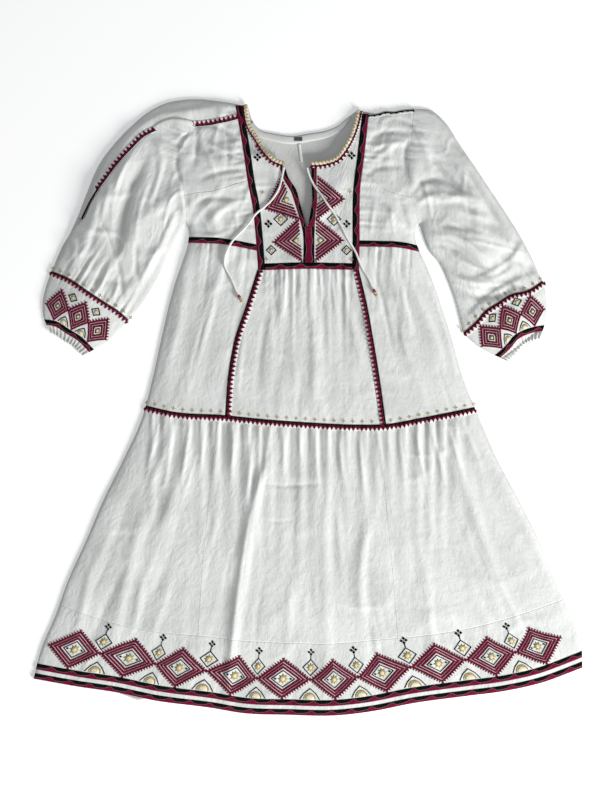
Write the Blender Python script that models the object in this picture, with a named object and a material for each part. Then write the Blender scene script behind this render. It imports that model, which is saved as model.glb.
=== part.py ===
"""A peasant dress laid flat on its back, as the panels, bands, trims and ties it is sewn from.

It lies on the plane Z = 0 with its front up and its neck towards +Y, and the origin is
under the middle of its outline. Left and right are as seen from above. Each panel is the
cloth between four drawn lines, cut where they cross. The front's upper face has one height
over the floor, made of the cloth's puff, its folds and its gathers, and each wall goes
straight down from it. Lengths in the tables are millimetres.
"""

import math
from collections import namedtuple

import bmesh
import bpy
import numpy as np
from mathutils import Vector

NAME = "peasant_dress"
MM = 0.001

# cloth and seams
FRONT_WALL = 1.6  # straight down, so at least 1.1 across the cloth on its steepest folds
BACK_WALL = 1.3
BACK_SEAM = 0.9
BACK_STEP = 40.0  # between the points of a back piece's outline
NECK_STEP = 14.0  # the same on the back bodice, whose neckline shows
SEAM = 0.3
LOW = 3.3  # upper face of the front at the outline, where front and back lie together
TRIM_LIFT = 0.5  # how far a band's upper face stands over the cloth beside it
RIBBON_WALL = 1.0
EDGE_REACH = 17.0  # the puff comes up from the outline over this distance
FRILL_WALL = 1.2

# widths of bands and trims
BIB_BAND = 12.5
NECK_EDGE = 13.0
SAW_BAND = 11.5
EMPIRE_BAND = 10.5
CUFF_RIBBON = 10.0
CUFF_FRILL = 14.0
HEM_RIBBON = 11.0
HEM_GAP = 19.0  # from the hem's edge to the upper ribbon's lower side
SHOULDER_TRIM = 9.0

# ties and what hangs on them
TIE_DIAMETER = 4.0
TIE_CLEARANCE = 0.5
BEAD_LENGTH = 7.0
BEAD_DIAMETER = 6.4
TIP_LENGTH = 5.0
TIP_DIAMETER = 4.4

# inside the back neck
FACING_DEPTH = 15.0
FACING_WALL = 1.0
TAB_SIZE = (15.0, 7.0, 0.6)
TAB_CENTRE = (-18.0, 502.5)
LOOP_SIZE = (3.4, 34.0, 0.8)
LOOP_CENTRE = (-14.0, 477.0)
LOOP_LEAN = math.radians(8)

# lines that run down the dress, as x, y points
DOWN = {
    "side_left": [
        (-226, 344), (-223, 322), (-226, 302), (-236, 272), (-251, 227), (-273, 137), (-292, 51),
        (-312, -23), (-346, -98), (-383, -173), (-415, -248), (-449, -323), (-475, -394),
        (-499, -450), (-514, -508),
    ],
    "side_right": [
        (208, 344), (201, 325), (205, 302), (219, 272), (237, 227), (267, 137), (292, 51),
        (322, -23), (355, -98), (395, -173), (432, -248), (462, -323), (494, -394), (512, -445),
        (514, -487),
    ],
    "armhole_left": [
        (-213, 536), (-229, 506), (-238, 474), (-238, 442), (-233, 410), (-229, 380), (-227, 342),
    ],
    "armhole_right": [(197, 560), (194, 520), (190, 482), (187, 450), (189, 418), (195, 382), (209, 342)],
    "bib_band_left": [(-136, 567), (-121, 482), (-112, 420), (-103, 373), (-98, 326), (-93, 260)],
    "bib_band_right": [(114, 553), (105, 472), (97, 405), (96, 347), (96, 300), (95, 258)],
    "placket_left": [(-55, 456), (-45, 426), (-31, 402), (-25, 384), (-17, 358), (-10, 330), (-9, 258)],
    "slit_left": [(-45, 458), (-36, 429), (-22, 407), (-16, 386), (-9, 360), (-3, 338)],
    "slit_right": [(6, 460), (7, 410), (8, 389), (5, 367), (0, 338)],
    "placket_right": [(16, 460), (16, 410), (17, 389), (14, 362), (12, 330), (12, 258)],
    "stripe_left": [(-93, 262), (-116, 190), (-137, 128), (-149, 61), (-155, -20)],
    "stripe_right": [(94, 262), (110, 194), (122, 128), (133, 61), (146, -32)],
    "low_seam_left": [(-168, -36), (-178, -129), (-188, -218), (-195, -290), (-201, -379), (-204, -430)],
    "low_seam_right": [(143, -45), (146, -147), (155, -254), (166, -379), (170, -436)],
    "sleeve_left_under": [(-228, 345), (-241, 329), (-256, 302), (-282, 242), (-309, 197), (-336, 164)],
    "cuff_left_under": [(-336, 164), (-356, 142), (-378, 122), (-398, 110), (-412, 102)],
    "cuff_left_outer": [(-480, 256), (-491, 226), (-497, 197), (-495, 168), (-487, 148)],
    "sleeve_right_outer": [
        (197, 560), (230, 556), (256, 535), (282, 496), (312, 452), (342, 407), (372, 362),
        (400, 317), (423, 272), (438, 236),
    ],
    "sleeve_right_under": [
        (211, 345), (216, 320), (228, 291), (247, 268), (259, 243), (272, 209), (290, 142),
    ],
    "cuff_right_under": [(290, 142), (300, 130), (316, 116), (337, 104), (362, 92)],
    "cuff_right_outer": [(438, 238), (445, 217), (447, 194), (446, 165), (440, 145)],
}

# lines that run across it, from left to right
ACROSS = {
    "neck_left": [(-113, 567), (-106, 529), (-91, 504), (-76, 481), (-62, 467), (-42, 459)],
    "neck_right": [(3, 460), (31, 462), (51, 469), (65, 486), (78, 510), (86, 534), (91, 556)],
    "top_left": [
        (-430, 361), (-412, 408), (-393, 452), (-361, 496), (-330, 528), (-295, 556), (-266, 570),
        (-236, 576), (-155, 572), (-128, 567),
    ],
    "trim_left": [
        (-431, 356), (-412, 394), (-385, 432), (-362, 463), (-339, 488), (-310, 516), (-280, 530),
        (-250, 535), (-214, 536), (-181, 539), (-160, 543), (-128, 551),
    ],
    "shoulder_right": [(108, 550), (128, 551), (146, 556), (159, 555), (175, 558), (198, 560)],
    "bust_left": [(-230, 397), (-205, 402), (-178, 405), (-146, 415), (-110, 426)],
    "bust_right": [(98, 441), (112, 434), (127, 422), (146, 407), (166, 400), (194, 393)],
    "empire_left": [(-226, 319), (-199, 318), (-172, 317), (-135, 312), (-94, 304)],
    "empire_right": [(93, 312), (135, 311), (174, 309), (206, 303)],
    "bib_bottom": [(-98, 268), (-45, 270), (2, 271), (50, 270), (98, 269)],
    "tier": [
        (-306, 4), (-245, -9), (-162, -14), (-82, -22), (1, -28), (84, -32), (147, -31), (209, -20),
        (314, 1),
    ],
    "hem_stitch": [
        (-472, -366), (-421, -385), (-352, -406), (-288, -419), (-199, -427), (-109, -437),
        (-38, -440), (54, -441), (123, -435), (227, -425), (296, -414), (400, -386), (496, -352),
    ],
    "hem": [
        (-516, -508), (-432, -523), (-359, -534), (-288, -549), (-181, -563), (-120, -573),
        (-40, -576), (54, -577), (123, -569), (193, -555), (295, -541), (365, -532), (434, -517),
        (516, -487),
    ],
    "cuff_left": [(-486, 259), (-442, 240), (-410, 218), (-378, 197), (-352, 180), (-328, 158)],
    "cuff_end_left": [(-503, 166), (-468, 160), (-446, 146), (-425, 133), (-400, 108)],
    "cuff_right": [(284, 136), (312, 160), (331, 182), (351, 195), (378, 212), (410, 220), (446, 243)],
    "cuff_end_right": [(346, 94), (373, 119), (384, 133), (400, 143), (420, 150), (450, 155)],
    "back_neck": [
        (-113, 567), (-103, 536), (-91, 521), (-62, 513), (-26, 509), (-1, 513), (34, 519),
        (54, 527), (71, 541), (91, 556),
    ],
}

# the outline of the whole front, lines in order round it, True where one is run backwards
OUTLINE = [
    ("top_left", False), ("back_neck", False), ("shoulder_right", False),
    ("sleeve_right_outer", False), ("cuff_right_outer", False), ("cuff_right_under", True),
    ("sleeve_right_under", True), ("side_right", False), ("hem", True), ("side_left", True),
    ("sleeve_left_under", False), ("cuff_left_under", False), ("cuff_left_outer", True),
]

# where the cloth stands up from the surface: centre, reach each way, and rise
Puff = namedtuple("Puff", "x y reach_x reach_y rise")
PUFFS = [
    Puff(0, -150, 420, 420, 5.0),
    Puff(0, 420, 220, 130, 3.5),
    Puff(-165, 400, 60, 90, 3.0),
    Puff(150, 400, 55, 90, 3.0),
    Puff(-345, 350, 110, 130, 11.0),
    Puff(-430, 190, 60, 55, 6.0),
    Puff(310, 380, 100, 130, 11.0),
    Puff(392, 180, 60, 55, 6.0),
    Puff(-180, 552, 110, 20, 3.5),
]

# folds, each along a bent line from start over middle to end, with its half width on the
# left and the right of that way and the rise of its crest (negative for a trough)
Fold = namedtuple("Fold", "x0 y0 x1 y1 x2 y2 left right rise")
FOLDS = [
    # upper skirt
    Fold(-157, 300, -175, 215, -237, 3, 8, 12, 4.5),
    Fold(-231, 291, -242, 170, -290, 8, 10, 10, 2.5),
    Fold(-49, 246, -50, 200, -52, 149, 8, 8, 2.5),
    Fold(13, 169, 14, 90, 11, 10, 9, 9, 3.0),
    Fold(64, 210, 84, 150, 97, 78, 9, 9, 2.5),
    Fold(-15, 70, -10, 30, -12, -5, 14, 14, -2.0),
    Fold(138, 286, 170, 215, 189, 128, 9, 11, 3.5),
    Fold(180, 253, 222, 165, 252, 86, 8, 11, 3.5),
    Fold(209, 262, 245, 205, 273, 120, 8, 8, 2.5),
    # lower skirt
    Fold(-252, -22, -272, -90, -295, -147, 9, 12, 4.0),
    Fold(-77, -104, -117, -254, -152, -540, 13, 9, 6.0),
    Fold(-224, -76, -246, -150, -260, -237, 12, 12, 3.0),
    Fold(120, -200, 98, -300, 107, -397, 10, 10, 4.0),
    Fold(303, -33, 395, -190, 471, -360, 11, 14, 4.0),
    Fold(247, -42, 312, -200, 359, -372, 12, 12, 3.5),
    Fold(20, -120, 30, -280, 34, -500, 14, 14, 2.5),
    Fold(-300, -180, -335, -300, -372, -470, 12, 12, 3.0),
    Fold(-406, -300, -418, -360, -436, -430, 9, 9, 2.5),
    Fold(-310, -323, -318, -370, -330, -440, 8, 8, 2.0),
    Fold(352, -323, 372, -355, 402, -420, 9, 9, 2.5),
    Fold(200, -250, 224, -360, 240, -500, 11, 11, 3.0),
    # bodice
    Fold(-210, 512, -190, 470, -180, 430, 8, 8, 2.0),
    Fold(-150, 500, -160, 460, -150, 430, 9, 9, 1.5),
    Fold(160, 520, 150, 470, 158, 420, 8, 8, 2.0),
    Fold(-190, 390, -175, 360, -160, 330, 9, 9, 1.8),
    Fold(170, 385, 150, 350, 140, 325, 9, 9, 1.8),
    # left sleeve
    Fold(-301, 482, -345, 370, -358, 262, 12, 12, -4.5),
    Fold(-255, 388, -268, 315, -346, 200, 9, 9, 4.0),
    Fold(-234, 430, -238, 400, -232, 356, 7, 7, 2.5),
    Fold(-262, 500, -320, 400, -330, 280, 12, 12, 3.0),
    Fold(-370, 430, -410, 330, -430, 262, 12, 12, 3.5),
    Fold(-330, 240, -370, 235, -420, 250, 8, 8, -2.0),
    # right sleeve
    Fold(201, 540, 222, 480, 228, 430, 10, 10, 3.0),
    Fold(228, 343, 280, 320, 341, 255, 9, 9, 4.0),
    Fold(261, 291, 300, 290, 341, 232, 8, 8, -3.0),
    Fold(295, 330, 350, 320, 400, 270, 10, 10, 3.5),
    Fold(237, 430, 270, 400, 330, 380, 9, 9, 3.0),
    Fold(270, 480, 310, 410, 370, 330, 13, 13, 2.5),
    Fold(280, 250, 310, 220, 330, 205, 9, 9, 2.5),
]

# gathers and ruffles: along the chord of a seam, its bow to the left of the way, how many
# waves, their rise, and how far they reach to the left and the right of the seam
Gather = namedtuple("Gather", "x0 y0 x1 y1 bow count rise left right")
GATHERS = [
    Gather(-310, -8, 314, -12, -30, 23, 2.4, 5, 110),
    Gather(-226, 308, -96, 294, 3, 5, 1.7, 4, 70),
    Gather(-93, 260, 95, 260, 0, 9, 2.2, 4, 75),
    Gather(96, 301, 206, 294, 3, 5, 1.7, 4, 70),
    Gather(-132, 545, -100, 320, -6, 9, 0.9, 3, 26),
    Gather(112, 540, 97, 320, -4, 9, 0.9, 26, 3),
    Gather(-488, 262, -328, 158, 8, 9, 1.6, 55, 6),
    Gather(284, 138, 448, 246, 12, 9, 1.6, 55, 6),
    Gather(-500, 160, -404, 104, 8, 8, 1.1, 4, 12),
    Gather(350, 90, 450, 148, 14, 8, 1.1, 4, 12),
    Gather(-213, 536, -244, 450, -8, 4, 1.2, 6, 40),
    Gather(197, 556, 185, 450, 4, 4, 1.2, 40, 6),
]

# free ends of the ties, from the neck down, as x, y points
TIES = {
    "left": [
        (-45, 449), (-48, 433), (-55, 407), (-65, 391), (-80, 376), (-97, 362), (-112, 342),
        (-125, 328), (-140, 312), (-150, 295), (-155, 281), (-156, 268), (-152, 257), (-144, 242),
        (-137, 226), (-130, 210),
    ],
    "right": [
        (-2, 448), (3, 432), (12, 414), (24, 398), (36, 380), (48, 364), (60, 343), (71, 321),
        (89, 290), (102, 259), (114, 240), (122, 221),
    ],
}

# colour (linear red, green, blue), roughness and metallic value
MATERIALS = {
    "cotton": ((0.74, 0.75, 0.71), 0.85, 0.0),
    "cotton_inside": ((0.62, 0.62, 0.59), 0.85, 0.0),
    "ribbon": ((0.20, 0.012, 0.045), 0.6, 0.0),
    "saw_trim": ((0.31, 0.016, 0.07), 0.7, 0.0),
    "neck_trim": ((0.66, 0.56, 0.40), 0.7, 0.0),
    "tab": ((0.05, 0.055, 0.05), 0.7, 0.0),
    "cord": ((0.76, 0.77, 0.73), 0.8, 0.0),
    "bead": ((0.33, 0.01, 0.05), 0.25, 0.0),
    "tip": ((0.62, 0.45, 0.16), 0.3, 1.0),
}


def smooth(points, step=4.0):
    """A smooth curve through the points, with one of its own every step or so."""
    p = np.array(points, float)
    chord = np.r_[0, np.cumsum(np.linalg.norm(np.diff(p, axis=0), axis=1))]
    slope = np.gradient(p, chord, axis=0)
    s = np.linspace(0, chord[-1], max(2, round(chord[-1] / step) + 1))
    k = np.clip(np.searchsorted(chord, s, side="right") - 1, 0, len(p) - 2)
    h = (chord[k + 1] - chord[k])[:, None]
    t = (s - chord[k])[:, None] / h
    start = (2 * t**3 - 3 * t**2 + 1) * p[k] + (t**3 - 2 * t**2 + t) * h * slope[k]
    end = (3 * t**2 - 2 * t**3) * p[k + 1] + (t**3 - t**2) * h * slope[k + 1]
    return start + end


LINES = {name: smooth(points) for name, points in {**DOWN, **ACROSS}.items()}


def line(name):
    return LINES[name]


def beside(curve, distance):
    """The curve that far to the left of its way: to +X of one that runs down, above one that runs right."""
    way = np.gradient(curve, axis=0)
    way /= np.linalg.norm(way, axis=1)[:, None]
    return curve + distance * np.stack([-way[:, 1], way[:, 0]], axis=1)


def run_on(curve, length=40.0):
    """The curve with a straight run past each end, so that it crosses its neighbours."""
    first = curve[0] - (curve[1] - curve[0]) / np.linalg.norm(curve[1] - curve[0]) * length
    last = curve[-1] + (curve[-1] - curve[-2]) / np.linalg.norm(curve[-1] - curve[-2]) * length
    return np.vstack([first, curve, last])


def travelled(curve):
    """How far along the curve each of its points lies."""
    return np.r_[0, np.cumsum(np.linalg.norm(np.diff(curve, axis=0), axis=1))]


def crossing(a, b, a_end, b_end):
    """How far along a and b they cross, at the crossing nearest to a's and b's start (0) or end (1)."""
    p, r = a[:-1, None], np.diff(a, axis=0)[:, None]
    q, s = b[None, :-1], np.diff(b, axis=0)[None]
    turn = r[..., 0] * s[..., 1] - r[..., 1] * s[..., 0]
    turn = np.where(abs(turn) < 1e-12, 1e-12, turn)
    gap = q - p
    t = (gap[..., 0] * s[..., 1] - gap[..., 1] * s[..., 0]) / turn
    u = (gap[..., 0] * r[..., 1] - gap[..., 1] * r[..., 0]) / turn
    i, j = np.nonzero((t >= 0) & (t <= 1) & (u >= 0) & (u <= 1))
    if not len(i):
        raise ValueError(f"two lines near {a[0].round()} and {b[0].round()} do not cross")
    along_a, along_b = travelled(a), travelled(b)
    at_a = along_a[i] + t[i, j] * np.diff(along_a)[i]
    at_b = along_b[j] + u[i, j] * np.diff(along_b)[j]
    cost = abs(a_end * along_a[-1] - at_a) + abs(b_end * along_b[-1] - at_b)
    return at_a[cost.argmin()], at_b[cost.argmin()]


def then(a, b):
    """The first curve as far as the second, and on along the second."""
    at_a, at_b = crossing(a, b, 0, 0)
    place = [np.interp(at_a, travelled(a), a[:, k]) for k in (0, 1)]
    return np.vstack([a[travelled(a) < at_a - 1], [place], b[travelled(b) > at_b + 1]])


def stretch(curve, start, end, share):
    """The curve's points at the given shares of the way from start to end."""
    s = start + (end - start) * share
    along = travelled(curve)
    return np.stack([np.interp(s, along, curve[:, k]) for k in (0, 1)], axis=1)


def patch(top, right, bottom, left, columns, rows, ease=1.0):
    """Rows of points, top to bottom, over the cloth between four lines. An ease over 1 crowds them to the top."""
    top, right, bottom, left = (run_on(c) for c in (top, right, bottom, left))
    top_0, left_0 = crossing(top, left, 0, 0)
    top_1, right_0 = crossing(top, right, 1, 0)
    bottom_0, left_1 = crossing(bottom, left, 0, 1)
    bottom_1, right_1 = crossing(bottom, right, 1, 1)
    u = np.linspace(0, 1, columns + 1)
    v = np.linspace(0, 1, rows + 1) ** ease
    t, b = stretch(top, top_0, top_1, u), stretch(bottom, bottom_0, bottom_1, u)
    l, r = stretch(left, left_0, left_1, v), stretch(right, right_0, right_1, v)
    u, v = u[None, :, None], v[:, None, None]
    corners = (1 - u) * ((1 - v) * t[0] + v * b[0]) + u * ((1 - v) * t[-1] + v * b[-1])
    return (1 - v) * t + v * b + (1 - u) * l[:, None] + u * r[:, None] - corners


def drawn_in(ring, distance):
    """A closed ring of points moved in by that distance."""
    before, after = np.roll(ring, 1, axis=0), np.roll(ring, -1, axis=0)
    x, y = ring.T
    turn = np.sign(np.sum(x * np.roll(y, -1) - np.roll(x, -1) * y))

    def inward(a, b):
        way = (b - a) / np.linalg.norm(b - a, axis=1)[:, None]
        return turn * np.stack([-way[:, 1], way[:, 0]], axis=1)

    n0, n1 = inward(before, ring), inward(ring, after)
    middle = n0 + n1
    reach = np.maximum(np.sum(middle * n0, axis=1), 0.5)[:, None]
    return ring + distance * middle / reach


def seamed(grid):
    """The patch with its rim drawn in by half a seam."""
    rows, columns = grid.shape[:2]
    ring = [(0, j) for j in range(columns)] + [(i, columns - 1) for i in range(1, rows)]
    ring += [(rows - 1, j) for j in range(columns - 2, -1, -1)] + [(i, 0) for i in range(rows - 2, 0, -1)]
    i, j = np.array(ring).T
    moved = grid.copy()
    moved[i, j] = drawn_in(grid[i, j], SEAM / 2)
    return moved


def outline_distance(xy):
    """How far each point lies from the outline of the front."""
    rim = np.vstack([line(n)[::-1] if back else line(n) for n, back in OUTLINE])
    rim = np.vstack([rim, rim[:1]])
    start, way = rim[:-1], np.diff(rim, axis=0)
    size = np.maximum(np.sum(way**2, axis=1), 1e-9)
    off = xy[:, None] - start
    t = np.clip(np.sum(off * way, axis=2) / size, 0, 1)
    return np.linalg.norm(off - t[..., None] * way, axis=2).min(axis=1)


def fold_rise(fold, xy):
    """One fold's part of the height: a crest or trough along a bent line, fading at its ends."""
    t = np.linspace(0, 1, 17)[:, None]
    ends = np.array([[fold.x0, fold.y0], [fold.x1, fold.y1], [fold.x2, fold.y2]], float)
    bend = 2 * ends[1] - (ends[0] + ends[2]) / 2
    spine = (1 - t) ** 2 * ends[0] + 2 * t * (1 - t) * bend + t**2 * ends[2]
    start, way = spine[:-1], np.diff(spine, axis=0)
    off = xy[:, None] - start
    s = np.clip(np.sum(off * way, axis=2) / np.sum(way**2, axis=1), 0, 1)
    apart = off - s[..., None] * way
    gap = np.linalg.norm(apart, axis=2)
    k = gap.argmin(axis=1)
    row = np.arange(len(xy))
    side = way[k, 0] * apart[row, k, 1] - way[k, 1] * apart[row, k, 0]
    half = np.where(side > 0, fold.left, fold.right)
    along = (k + s[row, k]) / len(way)
    fade = np.sin(math.pi * np.clip(along, 0.02, 0.98)) ** 0.6
    return fold.rise * fade * np.exp(-((gap[row, k] / half) ** 2))


def gather_rise(gather, xy):
    """One seam's gathers: uneven waves along it that die away on both sides."""
    start = np.array([gather.x0, gather.y0], float)
    way = np.array([gather.x1, gather.y1], float) - start
    length = np.linalg.norm(way)
    way /= length
    off = xy - start
    s = off @ way / length
    t = off @ np.array([-way[1], way[0]]) - 4 * gather.bow * s * (1 - s)
    uneven = 0.22 * np.sin(2 * math.pi * 2.3 * s + 1) + 0.13 * np.sin(2 * math.pi * 5.7 * s)
    strength = 0.75 + 0.25 * np.sin(2 * math.pi * 3.4 * s + 2)
    wave = strength * np.cos(2 * math.pi * (gather.count * s + uneven))
    ends = np.clip(np.minimum(s, 1 - s) * gather.count, 0, 1)
    reach = np.where(t > 0, gather.left, gather.right)
    return gather.rise * ends * wave * np.exp(-abs(t) / reach)


def height(xy):
    """Height of the front's upper face over the floor."""
    flat = np.reshape(xy, (-1, 2))
    puff = sum(
        p.rise * np.exp(-(((flat[:, 0] - p.x) / p.reach_x) ** 2) - ((flat[:, 1] - p.y) / p.reach_y) ** 2)
        for p in PUFFS
    )
    relief = sum(fold_rise(f, flat) for f in FOLDS) + sum(gather_rise(g, flat) for g in GATHERS)
    up = 1 - np.exp(-outline_distance(flat) / EDGE_REACH)
    return np.maximum(LOW + up * (2.5 + puff) + np.sqrt(up) * relief, LOW).reshape(np.shape(xy)[:-1])


def material(slot):
    """The slot's material, made at its first use."""
    if slot in bpy.data.materials:
        return bpy.data.materials[slot]
    colour, roughness, metallic = MATERIALS[slot]
    made = bpy.data.materials.new(slot)
    made.use_nodes = True
    shader = made.node_tree.nodes["Principled BSDF"]
    shader.inputs["Base Color"].default_value = (*colour, 1)
    shader.inputs["Roughness"].default_value = roughness
    shader.inputs["Metallic"].default_value = metallic
    return made


def link(name, data, slot):
    """A new object in the dress's collection, with one material."""
    made = bpy.data.objects.new(name, data)
    bpy.data.collections[NAME].objects.link(made)
    data.materials.append(material(slot))
    return made


def extruded(name, bm, drop, slot):
    """The open faces in bm made a closed wall that goes straight down by drop."""
    made = bmesh.ops.extrude_face_region(bm, geom=bm.faces[:])["geom"]
    lower = [v for v in made if isinstance(v, bmesh.types.BMVert)]
    bmesh.ops.translate(bm, verts=lower, vec=(0, 0, -drop * MM))
    bmesh.ops.recalc_face_normals(bm, faces=bm.faces[:])
    mesh = bpy.data.meshes.new(name)
    bm.to_mesh(mesh)
    bm.free()
    return link(name, mesh, slot)


def cloth(name, grid, top, wall, slot):
    """A wall of cloth over the rows of points, its upper face at the heights in top."""
    rows, columns = top.shape
    bm = bmesh.new()
    bmesh.ops.create_grid(bm, x_segments=columns - 1, y_segments=rows - 1, size=0.5)
    places = np.dstack([grid, top])[::-1].reshape(-1, 3) * MM
    for vertex, place in zip(bm.verts, places):
        vertex.co = place
    bmesh.ops.triangulate(bm, faces=bm.faces[:], quad_method="FIXED")
    return extruded(name, bm, wall, slot)


def front(name, sides, columns, rows, slot="cotton", lift=0.0, wall=FRONT_WALL, ease=1.0):
    """A piece of the front between its top, right, bottom and left lines."""
    grid = seamed(patch(*sides, columns, rows, ease))
    return cloth(name, grid, height(grid) + lift, wall + lift, slot)


def flat(name, ring, floor, wall, slot):
    """A flat piece with the ring as its outline."""
    bm = bmesh.new()
    top = (floor + wall) * MM
    bm.faces.new([bm.verts.new((x * MM, y * MM, top)) for x, y in drawn_in(ring, BACK_SEAM / 2)])
    return extruded(name, bm, wall, slot)


def ring_of(*sides, top_step=BACK_STEP):
    """The closed outline of four lines, top, right, bottom and left, cut where they cross."""
    top, right, bottom, left = (run_on(c) for c in sides)
    top_0, left_0 = crossing(top, left, 0, 0)
    top_1, right_0 = crossing(top, right, 1, 0)
    bottom_0, left_1 = crossing(bottom, left, 0, 1)
    bottom_1, right_1 = crossing(bottom, right, 1, 1)

    def run(curve, start, end, step=BACK_STEP):
        count = max(2, round(abs(end - start) / step))
        return stretch(curve, start, end, np.linspace(0, 1, count + 1))[:-1]

    return np.vstack([
        run(top, top_0, top_1, top_step), run(right, right_0, right_1),
        run(bottom, bottom_1, bottom_0), run(left, left_1, left_0),
    ])


def strip(name, across, width, right, left, columns, slot, lift=TRIM_LIFT, wall=FRONT_WALL):
    """A band of that width below the line across, between the lines left and right."""
    sides = (across, right, beside(across, -width), left)
    return front(name, sides, columns, 1, slot, lift, wall)


def bodice():
    """Bib with its bands, neck trims and placket, the side fronts and the bands under the bust."""
    band_left, band_right = line("bib_band_left"), line("bib_band_right")
    bib_left, bib_right = beside(band_left, BIB_BAND), beside(band_right, -BIB_BAND)
    neck_left, neck_right = line("neck_left"), line("neck_right")
    low_left, low_right = beside(neck_left, -NECK_EDGE), beside(neck_right, -NECK_EDGE)
    bottom = line("bib_bottom")
    under = beside(bottom, -SAW_BAND)
    slit_top = np.array([[-14.0, 338.0], [16.0, 338.0]])

    front("bib_left", (low_left, line("placket_left"), bottom, bib_left), 15, 14)
    front("bib_right", (low_right, bib_right, bottom, line("placket_right")), 15, 14)
    fold_left, fold_right = line("placket_left"), line("placket_right")
    front("placket_left", (low_left, line("slit_left"), slit_top, fold_left), 1, 14, "ribbon", TRIM_LIFT)
    front("placket_right", (low_right, fold_right, slit_top, line("slit_right")), 1, 14, "ribbon", TRIM_LIFT)
    front("placket_front", (slit_top, fold_right, bottom, fold_left), 2, 6, "ribbon", TRIM_LIFT)
    end_left = np.array([[-111.0, 567.0], [-126.0, 565.5]])
    end_right = np.array([[89.0, 556.5], [106.0, 552.5]])
    sides = (neck_left, line("slit_left"), then(bib_left, low_left), end_left)
    front("neck_edge_left", sides, 26, 1, "neck_trim", TRIM_LIFT)
    sides = (neck_right, end_right, then(low_right, bib_right[::-1]), line("slit_right"))
    front("neck_edge_right", sides, 26, 1, "neck_trim", TRIM_LIFT)

    shoulder = line("shoulder_right")
    top_left = np.array([[-140.0, 565.5], [-112.0, 565.5]])
    front("bib_band_left", (top_left, bib_left, under, band_left), 1, 18, "ribbon", TRIM_LIFT)
    front("bib_band_right", (shoulder, band_right, under, bib_right), 1, 18, "ribbon", TRIM_LIFT)
    strip("bib_band_bottom", bottom, SAW_BAND, bib_right, bib_left, 12, "ribbon")

    trim_under = beside(line("trim_left"), -SAW_BAND)
    bust_left, bust_right = line("bust_left"), line("bust_right")
    empire_left, empire_right = line("empire_left"), line("empire_right")
    hole_left, hole_right = line("armhole_left"), line("armhole_right")
    front("shoulder_left", (trim_under, band_left, bust_left, hole_left), 9, 10)
    front("shoulder_right", (beside(shoulder, -SHOULDER_TRIM), hole_right, bust_right, band_right), 9, 10)
    front("side_bust_left", (bust_left, band_left, empire_left, side_line("left")), 9, 6)
    front("side_bust_right", (bust_right, side_line("right"), empire_right, band_right), 9, 6)
    strip("empire_band_left", empire_left, EMPIRE_BAND, band_left, line("side_left"), 10, "ribbon")
    strip("empire_band_right", empire_right, EMPIRE_BAND, line("side_right"), band_right, 9, "ribbon")
    strip("sleeve_trim_right", shoulder, SHOULDER_TRIM, hole_right, band_right, 9, "saw_trim")


def side_line(side):
    """The side front's outer edge: the lower armhole, then the side seam."""
    hole, seam = line(f"armhole_{side}"), line(f"side_{side}")
    return np.vstack([hole[:-1], seam[1:]])


def sleeves():
    """Each sleeve's front half, its cuff with trims and frill, and the left one's turned-over top."""
    trim = line("trim_left")
    trim_under = beside(trim, -SAW_BAND)
    band = line("bib_band_left")
    outer = beside(smooth([*trim_under[::-8], (-446, 326), (-458, 306), (-480, 256)]), 3 * SEAM)
    end = np.array([[-450.0, 366.0], [-405.0, 344.0]])
    front("sleeve_left_fold", (line("top_left"), band, trim, end[::-1]), 22, 2)
    front("sleeve_trim_left", (trim, band, trim_under, end[::-1]), 22, 1, "saw_trim", TRIM_LIFT)

    left_band, right_band = line("cuff_left"), line("cuff_right")
    front("sleeve_left_front", (line("armhole_left"), line("sleeve_left_under"), left_band, outer), 13, 18)
    hole = line("armhole_right")[::-1]
    sides = (hole, line("sleeve_right_outer"), right_band, line("sleeve_right_under"))
    front("sleeve_right_front", sides, 13, 13)

    for side, left, right in (("left", "outer", "under"), ("right", "under", "outer")):
        top, end = line(f"cuff_{side}"), line(f"cuff_end_{side}")
        left, right = line(f"cuff_{side}_{left}"), line(f"cuff_{side}_{right}")
        cuff_top, ribbon_low = beside(top, -SAW_BAND), beside(end, -CUFF_RIBBON)
        strip(f"cuff_band_{side}", top, SAW_BAND, right, left, 13, "saw_trim")
        front(f"cuff_{side}_front", (cuff_top, right, end, left), 13, 5)
        strip(f"cuff_ribbon_{side}", end, CUFF_RIBBON, right, left, 13, "ribbon")
        frill = (ribbon_low, right, beside(ribbon_low, -CUFF_FRILL), left)
        front(f"cuff_frill_{side}", frill, 21, 2, wall=FRILL_WALL)


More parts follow.
